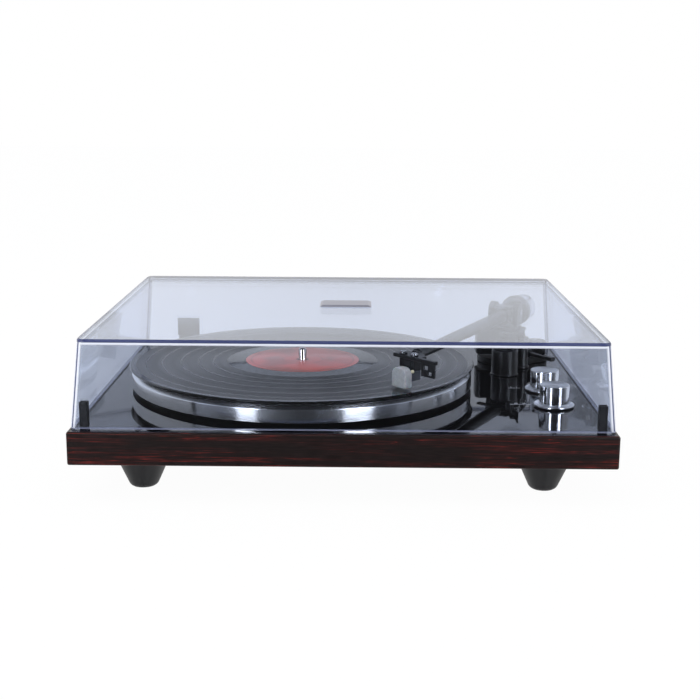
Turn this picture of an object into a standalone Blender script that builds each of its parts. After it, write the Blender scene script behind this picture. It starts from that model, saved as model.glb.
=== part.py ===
"""Belt-drive turntable with a clear hinged cover, in metres.

+X is to the right as seen from the front, -Y is the front and +Z is up. The origin is on the
floor, below the centre of the plinth. Each piece is one closed object. A piece that moves hangs
from an empty on its joint's axis.
"""

import math

import bmesh
import bpy
from mathutils import Vector

MM = 0.001
GAP = 0.3 * MM  # between pieces that rest on each other

# Plinth and plates
WIDTH, DEPTH = 420 * MM, 350 * MM
FOOT_HEIGHT = 30 * MM
PLATE_TOP = 56.2 * MM
EDGE_ROUND = 1.5 * MM
LIP = 2 * MM  # wood left round the top plate
PLATE_THICK = 1.9 * MM
BASE_THICK = 2 * MM
WEB_LOW = 46 * MM  # underside of the board over the routed pocket
WALL = 18 * MM
FOOT_X, FOOT_Y = 160 * MM, 127 * MM

# Platter and drive
PLATTER_AT = (-38 * MM, -9.4 * MM)
PLATTER_RADIUS, PLATTER_LOW = 149 * MM, PLATE_TOP + 3.4 * MM
PLATTER_TOP = PLATE_TOP + 17.4 * MM
MAT_RADIUS = 146 * MM
RECORD_RADIUS, RECORD_TOP, RECORD_THICK = 150.9 * MM, PLATE_TOP + 21.5 * MM, 1.9 * MM
SPINDLE_RADIUS, SPINDLE_RISE = 3.55 * MM, 10.5 * MM
RING_RADIUS, PULLEY_RADIUS = 62 * MM, 6.2 * MM
MOTOR_AT = (-105 * MM, 57.8 * MM)
MOTOR_RADIUS = 19 * MM

# Controls
KNOB_X, SPEED_KNOB_Y, POWER_KNOB_Y = 173.5 * MM, -84.4 * MM, -29.7 * MM
KNOB_RADIUS, KNOB_TOP, KNOB_FLANGE_RADIUS = 12.25 * MM, 18.6 * MM, 16.9 * MM

# Cover: half width and front and rear at its lower edge, and how far each wall leans in
COVER_HALF, COVER_FRONT, COVER_REAR = 208.5 * MM, -168.5 * MM, 166.5 * MM
COVER_LOW, COVER_TOP = PLATE_TOP + 1 * MM, 125.7 * MM
COVER_LEAN, COVER_THICK, COVER_CORNER = 6 * MM, 3 * MM, 6 * MM
HINGE_X, HINGE_Y, HINGE_Z = 163.5 * MM, 170.5 * MM, PLATE_TOP + 4 * MM

# Tonearm, in a frame whose origin is on the plate below the swing axis
ARM_AT = (152.8 * MM, 89.6 * MM)
ARM_ANGLE = 27.0  # degrees from the front towards the left
TUBE_HEIGHT, LIFT_AXIS_HEIGHT = 45 * MM, 48.5 * MM
TUBE_START, TUBE_END = 9.3 * MM, 208 * MM
TUBE_ROOT_RADIUS, TUBE_TIP_RADIUS, TUBE_WALL = 6 * MM, 4.2 * MM, 1 * MM
CARTRIDGE_REACH = 222.5 * MM  # swing axis to the middle of the two cartridge screws
OFFSET_ANGLE = 21.4
CUE_AT = (12.6 * MM, -30 * MM)  # lift post, from the swing axis
CUE_LEVER_ANGLE = 35.4
CUE_LEVER_HEIGHT = 12.5 * MM
ANTI_SKATE_AT = (30.2 * MM, 2.4 * MM)
REST_AT, REST_COLUMN_AT = (151.8 * MM, 30 * MM), (146 * MM, 31 * MM)
REST_COLUMN_RADIUS, REST_COLUMN_TOP = 12 * MM, 24 * MM

# Terminals: the recess in the plinth's rear as two corners in X and Z and the Y of its floor
TERMINAL_RECESS = ((40 * MM, 35 * MM), (165 * MM, 52 * MM), 162.5 * MM)
PANEL_THICK = 1.5 * MM
JACK_X = (60 * MM, 80 * MM)
GROUND_X, INLET_X, TERMINAL_Z = 101 * MM, 145 * MM, 43.5 * MM

# sRGB colour, roughness and metallic of each finish
FINISHES = {
    "rosewood veneer": ("2c1d1c", 0.35, 0.0),
    "gloss black": ("0b0b0d", 0.06, 0.0),
    "satin black": ("17171a", 0.4, 0.0),
    "dark grey plastic": ("28292c", 0.45, 0.0),
    "black rubber": ("141416", 0.8, 0.0),
    "polished aluminium": ("c9cbcf", 0.15, 1.0),
    "steel": ("9a9ca0", 0.3, 1.0),
    "chrome": ("dfe1e6", 0.06, 1.0),
    "brass": ("b08d4c", 0.3, 1.0),
    "vinyl": ("101012", 0.25, 0.0),
    "clear acrylic": ("c8cfe4", 0.05, 0.0),
    "milky plastic": ("c9c9c6", 0.35, 0.0),
    "circuit board": ("1f5a34", 0.5, 0.0),
    "grey badge": ("9d9eab", 0.35, 0.3),
}


def linear(channel):
    """An sRGB channel, 0 to 1, as linear light."""
    return channel / 12.92 if channel <= 0.04045 else ((channel + 0.055) / 1.055) ** 2.4


def material(name, finish):
    """A piece's own material."""
    colour, roughness, metallic = FINISHES[finish]
    made = bpy.data.materials.new(name)
    made.use_nodes = True
    shader = made.node_tree.nodes["Principled BSDF"]
    rgb = [linear(int(colour[i : i + 2], 16) / 255) for i in (0, 2, 4)]
    shader.inputs["Base Color"].default_value = (*rgb, 1.0)
    shader.inputs["Roughness"].default_value = roughness
    shader.inputs["Metallic"].default_value = metallic
    return made


# Outlines: lists of points in a plane


def disc(radius, steps=24, centre=(0.0, 0.0)):
    turn = 2 * math.pi / steps
    return [
        (centre[0] + radius * math.cos(i * turn), centre[1] + radius * math.sin(i * turn))
        for i in range(steps)
    ]


def arc(centre, radius, start, end, steps):
    """Points along an arc, with its angles in degrees from +X."""
    angles = [math.radians(start + (end - start) * i / steps) for i in range(steps + 1)]
    return [(centre[0] + radius * math.cos(a), centre[1] + radius * math.sin(a)) for a in angles]


def rounded_rectangle(low, high, radius, steps=6):
    """Anticlockwise from the right side's lower corner."""
    corners = (
        (high[0] - radius, low[1] + radius, -90),
        (high[0] - radius, high[1] - radius, 0),
        (low[0] + radius, high[1] - radius, 90),
        (low[0] + radius, low[1] + radius, 180),
    )
    return [p for x, y, at in corners for p in arc((x, y), radius, at, at + 90, steps)]


def strap(first, first_radius, second, second_radius, first_steps, second_steps):
    """A strap drawn tight round two discs: an arc round each, joined by straight runs."""
    across = Vector(second) - Vector(first)
    heading = math.degrees(math.atan2(across.y, across.x))
    half = math.degrees(math.acos((first_radius - second_radius) / across.length))
    far = arc(second, second_radius, heading - half, heading + half, second_steps)
    near = arc(first, first_radius, heading + half, heading + 360 - half, first_steps)
    return far + near


# Solids: each returns a closed bmesh


def loft(rings, joined=False):
    """Rings of points with one count, each joined to the next. The ends are capped, or joined."""
    shape = bmesh.new()
    loops = [[shape.verts.new(point) for point in ring] for ring in rings]
    pairs = list(zip(loops, loops[1:]))
    if joined:
        pairs.append((loops[-1], loops[0]))
    else:
        shape.faces.new(loops[0])
        shape.faces.new(loops[-1])
    for a, b in pairs:
        for i in range(len(a)):
            j = (i + 1) % len(a)
            shape.faces.new((a[i], a[j], b[j], b[i]))
    return shape


def prism(outline, low, high, along="Z"):
    """An outline extruded along an axis. It lies in Y and Z, X and Z, or X and Y."""
    place = {
        "X": lambda a, b, c: (c, a, b),
        "Y": lambda a, b, c: (a, c, b),
        "Z": lambda a, b, c: (a, b, c),
    }[along]
    return loft([[place(a, b, c) for a, b in outline] for c in (low, high)])


def block(low, high, rounding=0.0, steps=2):
    """A box between two opposite corners, with its edges rounded."""
    outline = [(low[0], low[1]), (high[0], low[1]), (high[0], high[1]), (low[0], high[1])]
    shape = prism(outline, low[2], high[2])
    if rounding:
        bmesh.ops.recalc_face_normals(shape, faces=shape.faces)
        bmesh.ops.bevel(
            shape, geom=shape.edges[:], offset=rounding, segments=steps, profile=0.5, affect="EDGES"
        )
    return shape


def turned(profile, steps=24):
    """A profile of (radius, height) points spun about Z. Its ends lie on the axis, or it closes."""
    shape = bmesh.new()
    points = [shape.verts.new((radius, 0, height)) for radius, height in profile]
    pairs = list(zip(points, points[1:]))
    if profile[0][0] > 0:
        pairs.append((points[-1], points[0]))
    edges = [shape.edges.new(pair) for pair in pairs]
    bmesh.ops.spin(
        shape, geom=points + edges, axis=(0, 0, 1), cent=(0, 0, 0), angle=2 * math.pi,
        steps=steps, use_merge=True,
    )
    bmesh.ops.remove_doubles(shape, verts=shape.verts, dist=1e-7)
    return shape


def rod(radius, low, high, steps=16):
    return prism(disc(radius, steps), low, high)


def tube(inner, outer, low, high, steps=24):
    return turned([(inner, high), (outer, high), (outer, low), (inner, low)], steps)


# Objects


def place(name, shape, at, turn, parent):
    bmesh.ops.recalc_face_normals(shape, faces=shape.faces)
    mesh = bpy.data.meshes.new(name)
    shape.to_mesh(mesh)
    shape.free()
    mesh.shade_smooth()
    mesh.set_sharp_from_angle(angle=math.radians(35))
    obj = bpy.data.objects.new(name, mesh)
    bpy.context.collection.objects.link(obj)
    obj.location = at
    obj.rotation_euler = [math.radians(angle) for angle in turn]
    obj.parent = parent
    return obj


def piece(name, shape, finish, at=(0, 0, 0), turn=(0, 0, 0), parent=None):
    """A named piece, placed and turned (degrees) in its parent's frame."""
    obj = place(name, shape, at, turn, parent)
    obj.data.materials.append(material(name, finish))
    return obj


def combine(obj, operation, shape, at=(0, 0, 0), turn=(0, 0, 0)):
    """Joins a shape to a piece, or takes it out. The shape is placed in the piece's parent's frame."""
    helper = place(f"{obj.name}_{operation.lower()}_{len(obj.modifiers)}", shape, at, turn, obj.parent)
    helper.hide_render = True
    helper.display_type = "WIRE"
    change = obj.modifiers.new(helper.name, "BOOLEAN")
    change.operation = operation
    change.object = helper


def join(obj, shape, at=(0, 0, 0), turn=(0, 0, 0)):
    combine(obj, "UNION", shape, at, turn)


def carve(obj, shape, at=(0, 0, 0), turn=(0, 0, 0)):
    combine(obj, "DIFFERENCE", shape, at, turn)


def axis(name, at, turn=(0, 0, 0), parent=None):
    """An empty on a joint's axis, which the moving pieces hang from."""
    empty = bpy.data.objects.new(name, None)
    bpy.context.collection.objects.link(empty)
    empty.location = at
    empty.rotation_euler = [math.radians(angle) for angle in turn]
    empty.parent = parent
    return empty


# Chassis


def make_plinth():
    half_x, half_y = WIDTH / 2, DEPTH / 2
    plinth = piece(
        "plinth",
        block((-half_x, -half_y, FOOT_HEIGHT), (half_x, half_y, PLATE_TOP), EDGE_ROUND),
        "rosewood veneer",
    )
    rebate = PLATE_TOP - PLATE_THICK - GAP
    inner_x, inner_y = half_x - LIP, half_y - LIP
    carve(plinth, block((-inner_x, -inner_y, rebate), (inner_x, inner_y, PLATE_TOP + LIP)))
    pocket_x, pocket_y = half_x - WALL, half_y - WALL
    carve(plinth, block((-pocket_x, -pocket_y, 0), (pocket_x, pocket_y, WEB_LOW)))
    seat = 4 * MM  # ledge that the base plate rests on
    base_top = FOOT_HEIGHT + GAP + BASE_THICK
    carve(
        plinth,
        block(
            (-pocket_x - seat, -pocket_y - seat, 0),
            (pocket_x + seat, pocket_y + seat, base_top + GAP),
        ),
    )
    holes = (
        (PLATTER_AT, 11.3 * MM),
        (MOTOR_AT, MOTOR_RADIUS + 2 * MM),
        (ARM_AT, 18 * MM),
        ((KNOB_X, SPEED_KNOB_Y), 5 * MM),
        ((KNOB_X, POWER_KNOB_Y), 5 * MM),
    )
    for centre, radius in holes:
        carve(plinth, rod(radius, WEB_LOW - 2 * MM, PLATE_TOP), (*centre, 0))
    low, high, depth = TERMINAL_RECESS
    carve(plinth, block((low[0], depth, low[1]), (high[0], half_y + LIP, high[1])))
    way = 6 * MM
    carve(
        plinth,
        block((low[0] + way, pocket_y - LIP, low[1] + MM), (high[0] - way, depth + MM, high[1] - 4 * MM)),
    )

    plate_x, plate_y = inner_x - GAP, inner_y - GAP
    top = piece(
        "top_plate",
        block((-plate_x, -plate_y, PLATE_TOP - PLATE_THICK), (plate_x, plate_y, PLATE_TOP)),
        "gloss black",
    )
    plate_holes = (
        (PLATTER_AT, 9.3 * MM),
        (MOTOR_AT, 8 * MM),
        (ARM_AT, 12.8 * MM),
        ((KNOB_X, SPEED_KNOB_Y), 5 * MM),
        ((KNOB_X, POWER_KNOB_Y), 5 * MM),
    )
    for centre, radius in plate_holes:
        carve(top, rod(radius, PLATE_TOP - LIP * 2, PLATE_TOP + LIP, 24), (*centre, 0))

    base_x, base_y = pocket_x + seat - GAP, pocket_y + seat - GAP
    base = piece(
        "base_plate",
        block((-base_x, -base_y, FOOT_HEIGHT + GAP), (base_x, base_y, base_top)),
        "dark grey plastic",
    )
    for x in (-FOOT_X, FOOT_X):
        for y in (-FOOT_Y, FOOT_Y):
            carve(base, rod(2.6 * MM, FOOT_HEIGHT - MM, base_top + MM, 12), (x, y, 0))


def make_feet():
    """Tapered cones, each held by a screw through the base plate."""
    cone = [
        (2.6 * MM, FOOT_HEIGHT), (24 * MM, FOOT_HEIGHT), (12.2 * MM, 4 * MM), (11.3 * MM, 1.3 * MM),
        (9.4 * MM, 0), (0, 0),
    ]
    base_top = FOOT_HEIGHT + GAP + BASE_THICK
    head_low = base_top + GAP
    screw = [
        (0, head_low + 2.5 * MM), (4.5 * MM, head_low + 2 * MM), (4.5 * MM, head_low),
        (2.2 * MM, head_low), (2.2 * MM, 15 * MM), (0, 15 * MM),
    ]
    bore = [(0, 14 * MM), (2.6 * MM, 14 * MM)]
    places = (("front", -FOOT_Y), ("rear", FOOT_Y))
    for depth, y in places:
        for side, x in (("left", -FOOT_X), ("right", FOOT_X)):
            foot = turned(bore + cone, 24)
            piece(f"foot_{depth}_{side}", foot, "dark grey plastic", (x, y, 0))
            piece(f"foot_screw_{depth}_{side}", turned(screw, 12), "steel", (x, y, 0))


# Rear terminals
def make_terminals():
    low, high, floor = TERMINAL_RECESS
    panel_low, panel_high = floor + GAP, floor + GAP + PANEL_THICK
    panel = piece(
        "terminal_panel",
        block(
            (low[0] + GAP, panel_low, low[1] + GAP), (high[0] - GAP, panel_high, high[1] - GAP)
        ),
        "steel",
    )
    for x, radius in zip((*JACK_X, GROUND_X, INLET_X), (3.2, 3.2, 2.2, 4.0)):
        hole = rod(radius * MM, panel_low - MM, panel_high + MM, 16)
        carve(panel, hole, (x, 0, TERMINAL_Z), (-90, 0, 0))

    face = panel_high + GAP  # behind it is the shank in the panel's hole
    jack = [
        (0, face - 6 * MM), (2.9 * MM, face - 6 * MM), (2.9 * MM, face), (5.5 * MM, face),
        (5.5 * MM, face + 1.4 * MM), (4.15 * MM, face + 1.4 * MM), (4.15 * MM, face + 9 * MM),
        (1.6 * MM, face + 9 * MM), (1.6 * MM, face + MM), (0, face + MM),
    ]
    for side, x in zip(("left", "right"), JACK_X):
        piece(f"phono_jack_{side}", turned(jack, 16), "brass", (x, 0, TERMINAL_Z), (-90, 0, 0))
    post = [
        (0, panel_low - 2 * MM), (4 * MM, panel_low - 2 * MM), (4 * MM, panel_low - GAP),
        (1.9 * MM, panel_low - GAP), (1.9 * MM, face + 9 * MM), (0, face + 9 * MM),
    ]
    at, back = (GROUND_X, 0, TERMINAL_Z), (-90, 0, 0)
    piece("ground_post", turned(post, 12), "steel", at, back)
    piece("ground_nut", tube(2.2 * MM, 5 * MM, face, face + 6 * MM, 20), "chrome", at, back)
    inlet = [
        (0, face - 6 * MM), (3.7 * MM, face - 6 * MM), (3.7 * MM, face), (5.5 * MM, face),
        (5.5 * MM, face + 1.4 * MM), (2.75 * MM, face + 1.4 * MM), (2.75 * MM, face - 4.5 * MM),
        (1 * MM, face - 4.5 * MM), (1 * MM, face + 0.8 * MM), (0, face + 0.8 * MM),
    ]
    piece("dc_inlet", turned(inlet, 16), "satin black", (INLET_X, 0, TERMINAL_Z), back)


# Platter and drive


def make_platter():
    at = (*PLATTER_AT, 0)
    bore = SPINDLE_RADIUS + GAP
    bearing_bore = SPINDLE_RADIUS + 0.5 * MM
    housing = [
        (0, 36 * MM), (9 * MM, 36 * MM), (9 * MM, PLATE_TOP + GAP), (16 * MM, PLATE_TOP + GAP),
        (16 * MM, 58.5 * MM), (bearing_bore, 58.5 * MM), (bearing_bore, 39 * MM), (0, 39 * MM),
    ]
    piece("bearing_housing", turned(housing), "brass", at)
    centre = axis("platter_axis", at)
    tip = RECORD_TOP + SPINDLE_RISE
    spindle = [
        (0, 39.3 * MM), (SPINDLE_RADIUS, 39.3 * MM), (SPINDLE_RADIUS, tip - 2.5 * MM),
        (2.9 * MM, tip - 1 * MM), (1.6 * MM, tip - 0.2 * MM), (0, tip),
    ]
    piece("spindle_shaft", turned(spindle, 24), "chrome", parent=centre)
    rim, roof = PLATTER_RADIUS - 8 * MM, PLATTER_TOP - 4.6 * MM
    ring_inner, ring_low = RING_RADIUS - 4 * MM, PLATTER_LOW + 1.9 * MM
    platter = [
        (bore, PLATTER_TOP), (PLATTER_RADIUS - 3.4 * MM, PLATTER_TOP),
        (PLATTER_RADIUS, PLATTER_TOP - 3.2 * MM), (PLATTER_RADIUS, PLATTER_LOW), (rim, PLATTER_LOW),
        (rim, roof), (RING_RADIUS, roof), (RING_RADIUS, ring_low), (ring_inner, ring_low),
        (ring_inner, roof), (14 * MM, roof), (14 * MM, 64 * MM), (bore, 64 * MM),
    ]
    piece("platter", turned(platter, 56), "polished aluminium", parent=centre)
    record_low = RECORD_TOP - RECORD_THICK
    mat = tube(bore, MAT_RADIUS, PLATTER_TOP + GAP, record_low - GAP, 48)
    piece("platter_mat", mat, "black rubber", parent=centre)
    edge = 0.5 * MM
    record = [
        (bore, RECORD_TOP), (RECORD_RADIUS - edge, RECORD_TOP), (RECORD_RADIUS, RECORD_TOP - edge),
        (RECORD_RADIUS, record_low + edge), (RECORD_RADIUS - edge, record_low), (bore, record_low),
    ]
    piece("vinyl_record", turned(record, 64), "vinyl", parent=centre)


def make_drive():
    at = (*MOTOR_AT, 0)
    shaft = 1.5 * MM
    case = [
        (0, 34 * MM), (MOTOR_RADIUS - MM, 34 * MM), (MOTOR_RADIUS, 35 * MM), (MOTOR_RADIUS, 51.5 * MM),
        (shaft + GAP, 51.5 * MM), (shaft + GAP, 43 * MM), (0, 43 * MM),
    ]
    piece("motor", turned(case), "steel", at)
    plate_low = 51.5 * MM + GAP
    ring = tube(6.5 * MM, MOTOR_RADIUS + 1.5 * MM, plate_low, plate_low + 2 * MM)
    piece("motor_plate", ring, "steel", at)
    turning = axis("motor_axis", at)
    pulley_low, pulley_high = 60.5 * MM, 68 * MM
    pulley = [
        (0, 43.5 * MM), (shaft, 43.5 * MM), (shaft, pulley_low), (PULLEY_RADIUS + MM, pulley_low),
        (PULLEY_RADIUS + MM, pulley_low + MM), (PULLEY_RADIUS, pulley_low + 1.2 * MM),
        (PULLEY_RADIUS, pulley_high - 1.2 * MM), (PULLEY_RADIUS + MM, pulley_high - MM),
        (PULLEY_RADIUS + MM, pulley_high), (0, pulley_high),
    ]
    piece("motor_pulley", turned(pulley, 24), "brass", parent=turning)
    belt_low, belt_high, slack, thick = 62.3 * MM, 66.2 * MM, 0.4 * MM, 0.8 * MM
    inner, outer = (
        strap(PLATTER_AT, RING_RADIUS + out, MOTOR_AT, PULLEY_RADIUS + out, 40, 10)
        for out in (slack, slack + thick)
    )
    rings = [
        [(x, y, z) for x, y in outline]
        for outline, z in ((inner, belt_low), (outer, belt_low), (outer, belt_high), (inner, belt_high))
    ]
    piece("drive_belt", loft(rings, joined=True), "black rubber")


# Controls


def make_controls():
    knob_low = PLATE_TOP + 1 * MM
    flange_top, top = PLATE_TOP + 3.1 * MM, PLATE_TOP + KNOB_TOP
    stem = 3 * MM
    for name, y in (("speed", SPEED_KNOB_Y), ("power", POWER_KNOB_Y)):
        switch = [
            (0, 36.3 * MM), (8 * MM, 36.3 * MM), (8 * MM, WEB_LOW - GAP), (4.5 * MM, WEB_LOW - GAP),
            (4.5 * MM, PLATE_TOP + 0.4 * MM), (stem + 0.4 * MM, PLATE_TOP + 0.4 * MM),
            (stem + 0.4 * MM, 40 * MM), (0, 40 * MM),
        ]
        piece(f"{name}_switch", turned(switch, 24), "dark grey plastic", (KNOB_X, y, 0))
        knob = [
            (0, 41 * MM), (stem, 41 * MM), (stem, knob_low), (KNOB_FLANGE_RADIUS - MM, knob_low),
            (KNOB_FLANGE_RADIUS, knob_low + 0.8 * MM), (KNOB_FLANGE_RADIUS - 0.6 * MM, flange_top - 0.3 * MM),
            (KNOB_FLANGE_RADIUS - 1.6 * MM, flange_top), (KNOB_RADIUS + 0.4 * MM, flange_top),
            (KNOB_RADIUS, flange_top + 0.4 * MM), (KNOB_RADIUS, top - 0.5 * MM),
            (KNOB_RADIUS - 0.5 * MM, top), (0, top),
        ]
        turning = axis(f"{name}_knob_axis", (KNOB_X, y, 0))
        piece(f"{name}_knob", turned(knob, 28), "chrome", parent=turning)
    board = block((100 * MM, -110 * MM, 33.6 * MM), (186 * MM, -4 * MM, 35.2 * MM))
    piece("control_board", board, "circuit board")


# Cover


def cover_ring(height, inset, corner):
    """The cover's outline at a height, set in from its outer face."""
    lean = COVER_LEAN * (height - COVER_LOW) / (COVER_TOP - COVER_LOW) + inset
    low = (-COVER_HALF + lean, COVER_FRONT + lean)
    high = (COVER_HALF - lean, COVER_REAR - lean)
    return [(x, y, height) for x, y in rounded_rectangle(low, high, corner)]


def make_cover(lid):
    """The shell opens downwards; a pocket on its rear takes each hinge leaf."""
    shoulder = 1 * MM
    inner_corner = COVER_CORNER - COVER_THICK
    rings = [
        cover_ring(COVER_TOP - COVER_THICK, COVER_THICK, inner_corner),
        cover_ring(COVER_LOW, COVER_THICK, inner_corner),
        cover_ring(COVER_LOW, 0, COVER_CORNER),
        cover_ring(COVER_TOP - shoulder, 0, COVER_CORNER),
        cover_ring(COVER_TOP, shoulder * 0.6, COVER_CORNER - shoulder * 0.6),
    ]
    seat = (0, -HINGE_Y, -HINGE_Z)  # the row's origin seen from the hinge axis
    cover = piece("dust_cover", loft(rings), "clear acrylic", seat, parent=lid)
    for x in (-HINGE_X, HINGE_X):
        pocket = block(
            (x - 14 * MM, 163.4 * MM, HINGE_Z + 3 * MM), (x + 14 * MM, 170.3 * MM, PLATE_TOP + 26.7 * MM)
        )
        slot = block(
            (x - 11.4 * MM, 166.5 * MM, HINGE_Z), (x + 11.4 * MM, 168.8 * MM, PLATE_TOP + 25.1 * MM)
        )
        join(cover, pocket, seat)
        carve(cover, slot, seat)

    badge_x, badge_y, badge_low = 22.5 * MM, 14.5 * MM, COVER_TOP + GAP
    bevel, thick = 2.5 * MM, 1.2 * MM
    rings = [
        [(x, y, badge_low) for x, y in rounded_rectangle((-badge_x, -badge_y), (badge_x, badge_y), MM, 2)],
        [
            (x, y, badge_low + thick)
            for x, y in rounded_rectangle(
                (-badge_x + bevel, -badge_y + bevel), (badge_x - bevel, badge_y - bevel), MM, 2
            )
        ],
    ]
    piece("cover_badge", loft(rings), "grey badge", seat, parent=lid)
    for side, x in (("left", -198.5 * MM), ("right", 198.5 * MM)):
        bumper = block(
            (x - 3.3 * MM, -163.4 * MM, PLATE_TOP + GAP), (x + 3.3 * MM, -157.4 * MM, PLATE_TOP + 20.6 * MM),
            0.5 * MM, 1,
        )
        piece(f"bumper_{side}", bumper, "black rubber", seat, parent=lid)


def make_hinge(side, x, lid):
    """A leaf that moves with the cover, a bracket on the plate, and the pin between them."""
    barrel, bore, pin = 2.6 * MM, 1.4 * MM, 1.1 * MM
    inner, outer = 4.9 * MM, 10 * MM  # the bracket's two barrels, from the hinge's middle
    across = (0, 90, 0)
    leaf = piece(
        f"hinge_leaf_{side}",
        prism(disc(barrel, 20), -inner + GAP, inner - GAP),
        "satin black", (x, 0, 0), across, lid,
    )
    neck = block((-inner + GAP, -3.7 * MM, -1.4 * MM), (inner - GAP, -2 * MM, 4 * MM))
    flap = block((-11 * MM, -3.7 * MM, 3.1 * MM), (11 * MM, -2 * MM, 20.8 * MM))
    join(leaf, neck, (x, 0, 0))
    join(leaf, flap, (x, 0, 0))
    carve(leaf, rod(bore, -outer, outer, 12), (x, 0, 0), across)

    at = (x, HINGE_Y, HINGE_Z)
    bracket = piece(
        f"hinge_bracket_{side}",
        block((-11 * MM, -2.4 * MM, PLATE_TOP + GAP - HINGE_Z), (11 * MM, 4.2 * MM, -2.7 * MM)),
        "satin black", at,
    )
    for end in (-1, 1):
        low, high = sorted((end * inner, end * outer))
        ear = block((low, -1.7 * MM, -3.2 * MM), (high, 1.7 * MM, 0))
        join(bracket, ear, at)
        join(bracket, prism(disc(barrel, 20), low, high), at, across)
    carve(bracket, rod(bore, -outer - MM, outer + MM, 12), at, across)
    piece(f"hinge_pin_{side}", rod(pin, -outer - 0.4 * MM, outer + 0.4 * MM, 12), "steel", at, across)


# Tonearm base


def make_arm_base():
    at = (*ARM_AT, PLATE_TOP)
    column, collar_low, collar_top = 12.4 * MM, GAP, 6 * MM
    outline = strap((0, 0), 26 * MM, ANTI_SKATE_AT, 11 * MM, 28, 12)
    collar = piece("arm_base_collar", prism(outline, collar_low, collar_top), "satin black", at)
    carve(collar, rod(column + 0.4 * MM, -MM, collar_top + MM, 24), at)
    knob_at = (at[0] + ANTI_SKATE_AT[0], at[1] + ANTI_SKATE_AT[1], PLATE_TOP)
    join(collar, rod(2 * MM, collar_low + MM, 15 * MM, 12), knob_at)

    tower = piece("arm_tower", rod(column, -10 * MM, 35.5 * MM, 24), "satin black", at)
    housing = rounded_rectangle((-27.8 * MM, -10 * MM), (13.2 * MM, 14 * MM), 5 * MM, 4)
    join(tower, prism(housing, 8 * MM, 35.5 * MM), at)
    carve(tower, rod(3.4 * MM, 19 * MM, 40 * MM, 16), at)

    knob_axis = axis("anti_skate_axis", knob_at)
    knob_low, knob_top, radius = collar_top + 0.6 * MM, 20 * MM, 9.75 * MM
    knob = [
        (0, 15.4 * MM), (2.3 * MM, 15.4 * MM), (2.3 * MM, knob_low), (radius, knob_low),
        (radius, knob_top - MM), (radius - MM, knob_top), (0, knob_top),
    ]
    piece("anti_skate_knob", turned(knob), "satin black", parent=knob_axis)

    column_at, rest = (*REST_COLUMN_AT, PLATE_TOP), (*REST_AT, PLATE_TOP)
    wide, top = REST_COLUMN_RADIUS, REST_COLUMN_TOP
    column = [(0, GAP), (wide, GAP), (wide, top - 0.8 * MM), (wide - 0.8 * MM, top), (0, top)]
    holder = piece("arm_rest", turned(column, 28), "satin black", column_at)
    join(holder, rod(3.5 * MM, top - MM, 36 * MM, 20), rest)
    tube_half = 6.1 * MM  # the tube with 0.55 mm round it
    floor = TUBE_HEIGHT - tube_half
    cradle = (
        [(-8.2 * MM, 34 * MM), (8.2 * MM, 34 * MM), (8.2 * MM, 46 * MM), (tube_half, 46 * MM)]
        + arc((0, TUBE_HEIGHT), tube_half, 0, -90, 6)
        + [(-8.2 * MM, floor)]
    )
    join(holder, prism(cradle, -3 * MM, 3 * MM, "Y"), rest)


def make_cueing():
    """The post under the arm, the curved bar that lifts it, and the lever that raises the bar."""
    at = (ARM_AT[0] + CUE_AT[0], ARM_AT[1] + CUE_AT[1], PLATE_TOP)
    radius = 6 * MM
    housing = [
        (0, GAP), (radius, GAP), (radius, 29 * MM), (radius - MM, 30 * MM), (2.8 * MM, 30 * MM),
        (2.8 * MM, 17 * MM), (0, 17 * MM),
    ]
    post = piece("cue_housing", turned(housing, 24), "satin black", at)
    bore = rod(2 * MM, -1 * MM, 8 * MM, 12)
    side = (at[0], at[1], PLATE_TOP + CUE_LEVER_HEIGHT)
    carve(post, bore, side, (0, 90, CUE_LEVER_ANGLE))

    lift = axis("lift_bar_axis", at)
    reach = math.hypot(*CUE_AT)
    bearing = math.degrees(math.atan2(CUE_AT[1], CUE_AT[0]))
    bar_low, bar_high, half = 36.6 * MM, 38.4 * MM, 2.2 * MM
    centre = (-CUE_AT[0], -CUE_AT[1])
    far_end = bearing - 75
    band = arc(centre, reach + half, bearing + 4, far_end, 16) + arc(
        centre, reach - half, far_end, bearing + 4, 16
    )
    bar = piece("lift_bar", prism(band, bar_low, bar_high), "satin black", parent=lift)
    join(bar, rod(2.4 * MM, 18 * MM, bar_low + MM, 12))

    hub_gap = radius + GAP + 2.5 * MM
    turn = math.radians(CUE_LEVER_ANGLE)
    hub = (at[0] + hub_gap * math.cos(turn), at[1] + hub_gap * math.sin(turn), side[2])
    lever_axis = axis("cue_lever_axis", hub, (0, 0, CUE_LEVER_ANGLE))
    barrel = rod(4 * MM, -2.4 * MM, 2.4 * MM, 20)
    lever = piece("cue_lever", barrel, "satin black", turn=(0, 90, 0), parent=lever_axis)
    join(lever, rod(1.6 * MM, -hub_gap + MM, 0, 12), turn=(0, 90, 0))
    # Reach, half width and half height at each station along the lever
    stations = ((0, 2.0, 1.6), (20, 1.6, 1.2), (26, 2.2, 1.6), (32.6, 2.6, 1.8))
    rings = [
        [
            (x * MM, -y * MM, z * MM)
            for x, z in ((-wide, -high), (wide, -high), (wide, high), (-wide, high))
        ]
        for y, wide, high in stations
    ]
    join(lever, loft(rings))


# Tonearm


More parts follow.
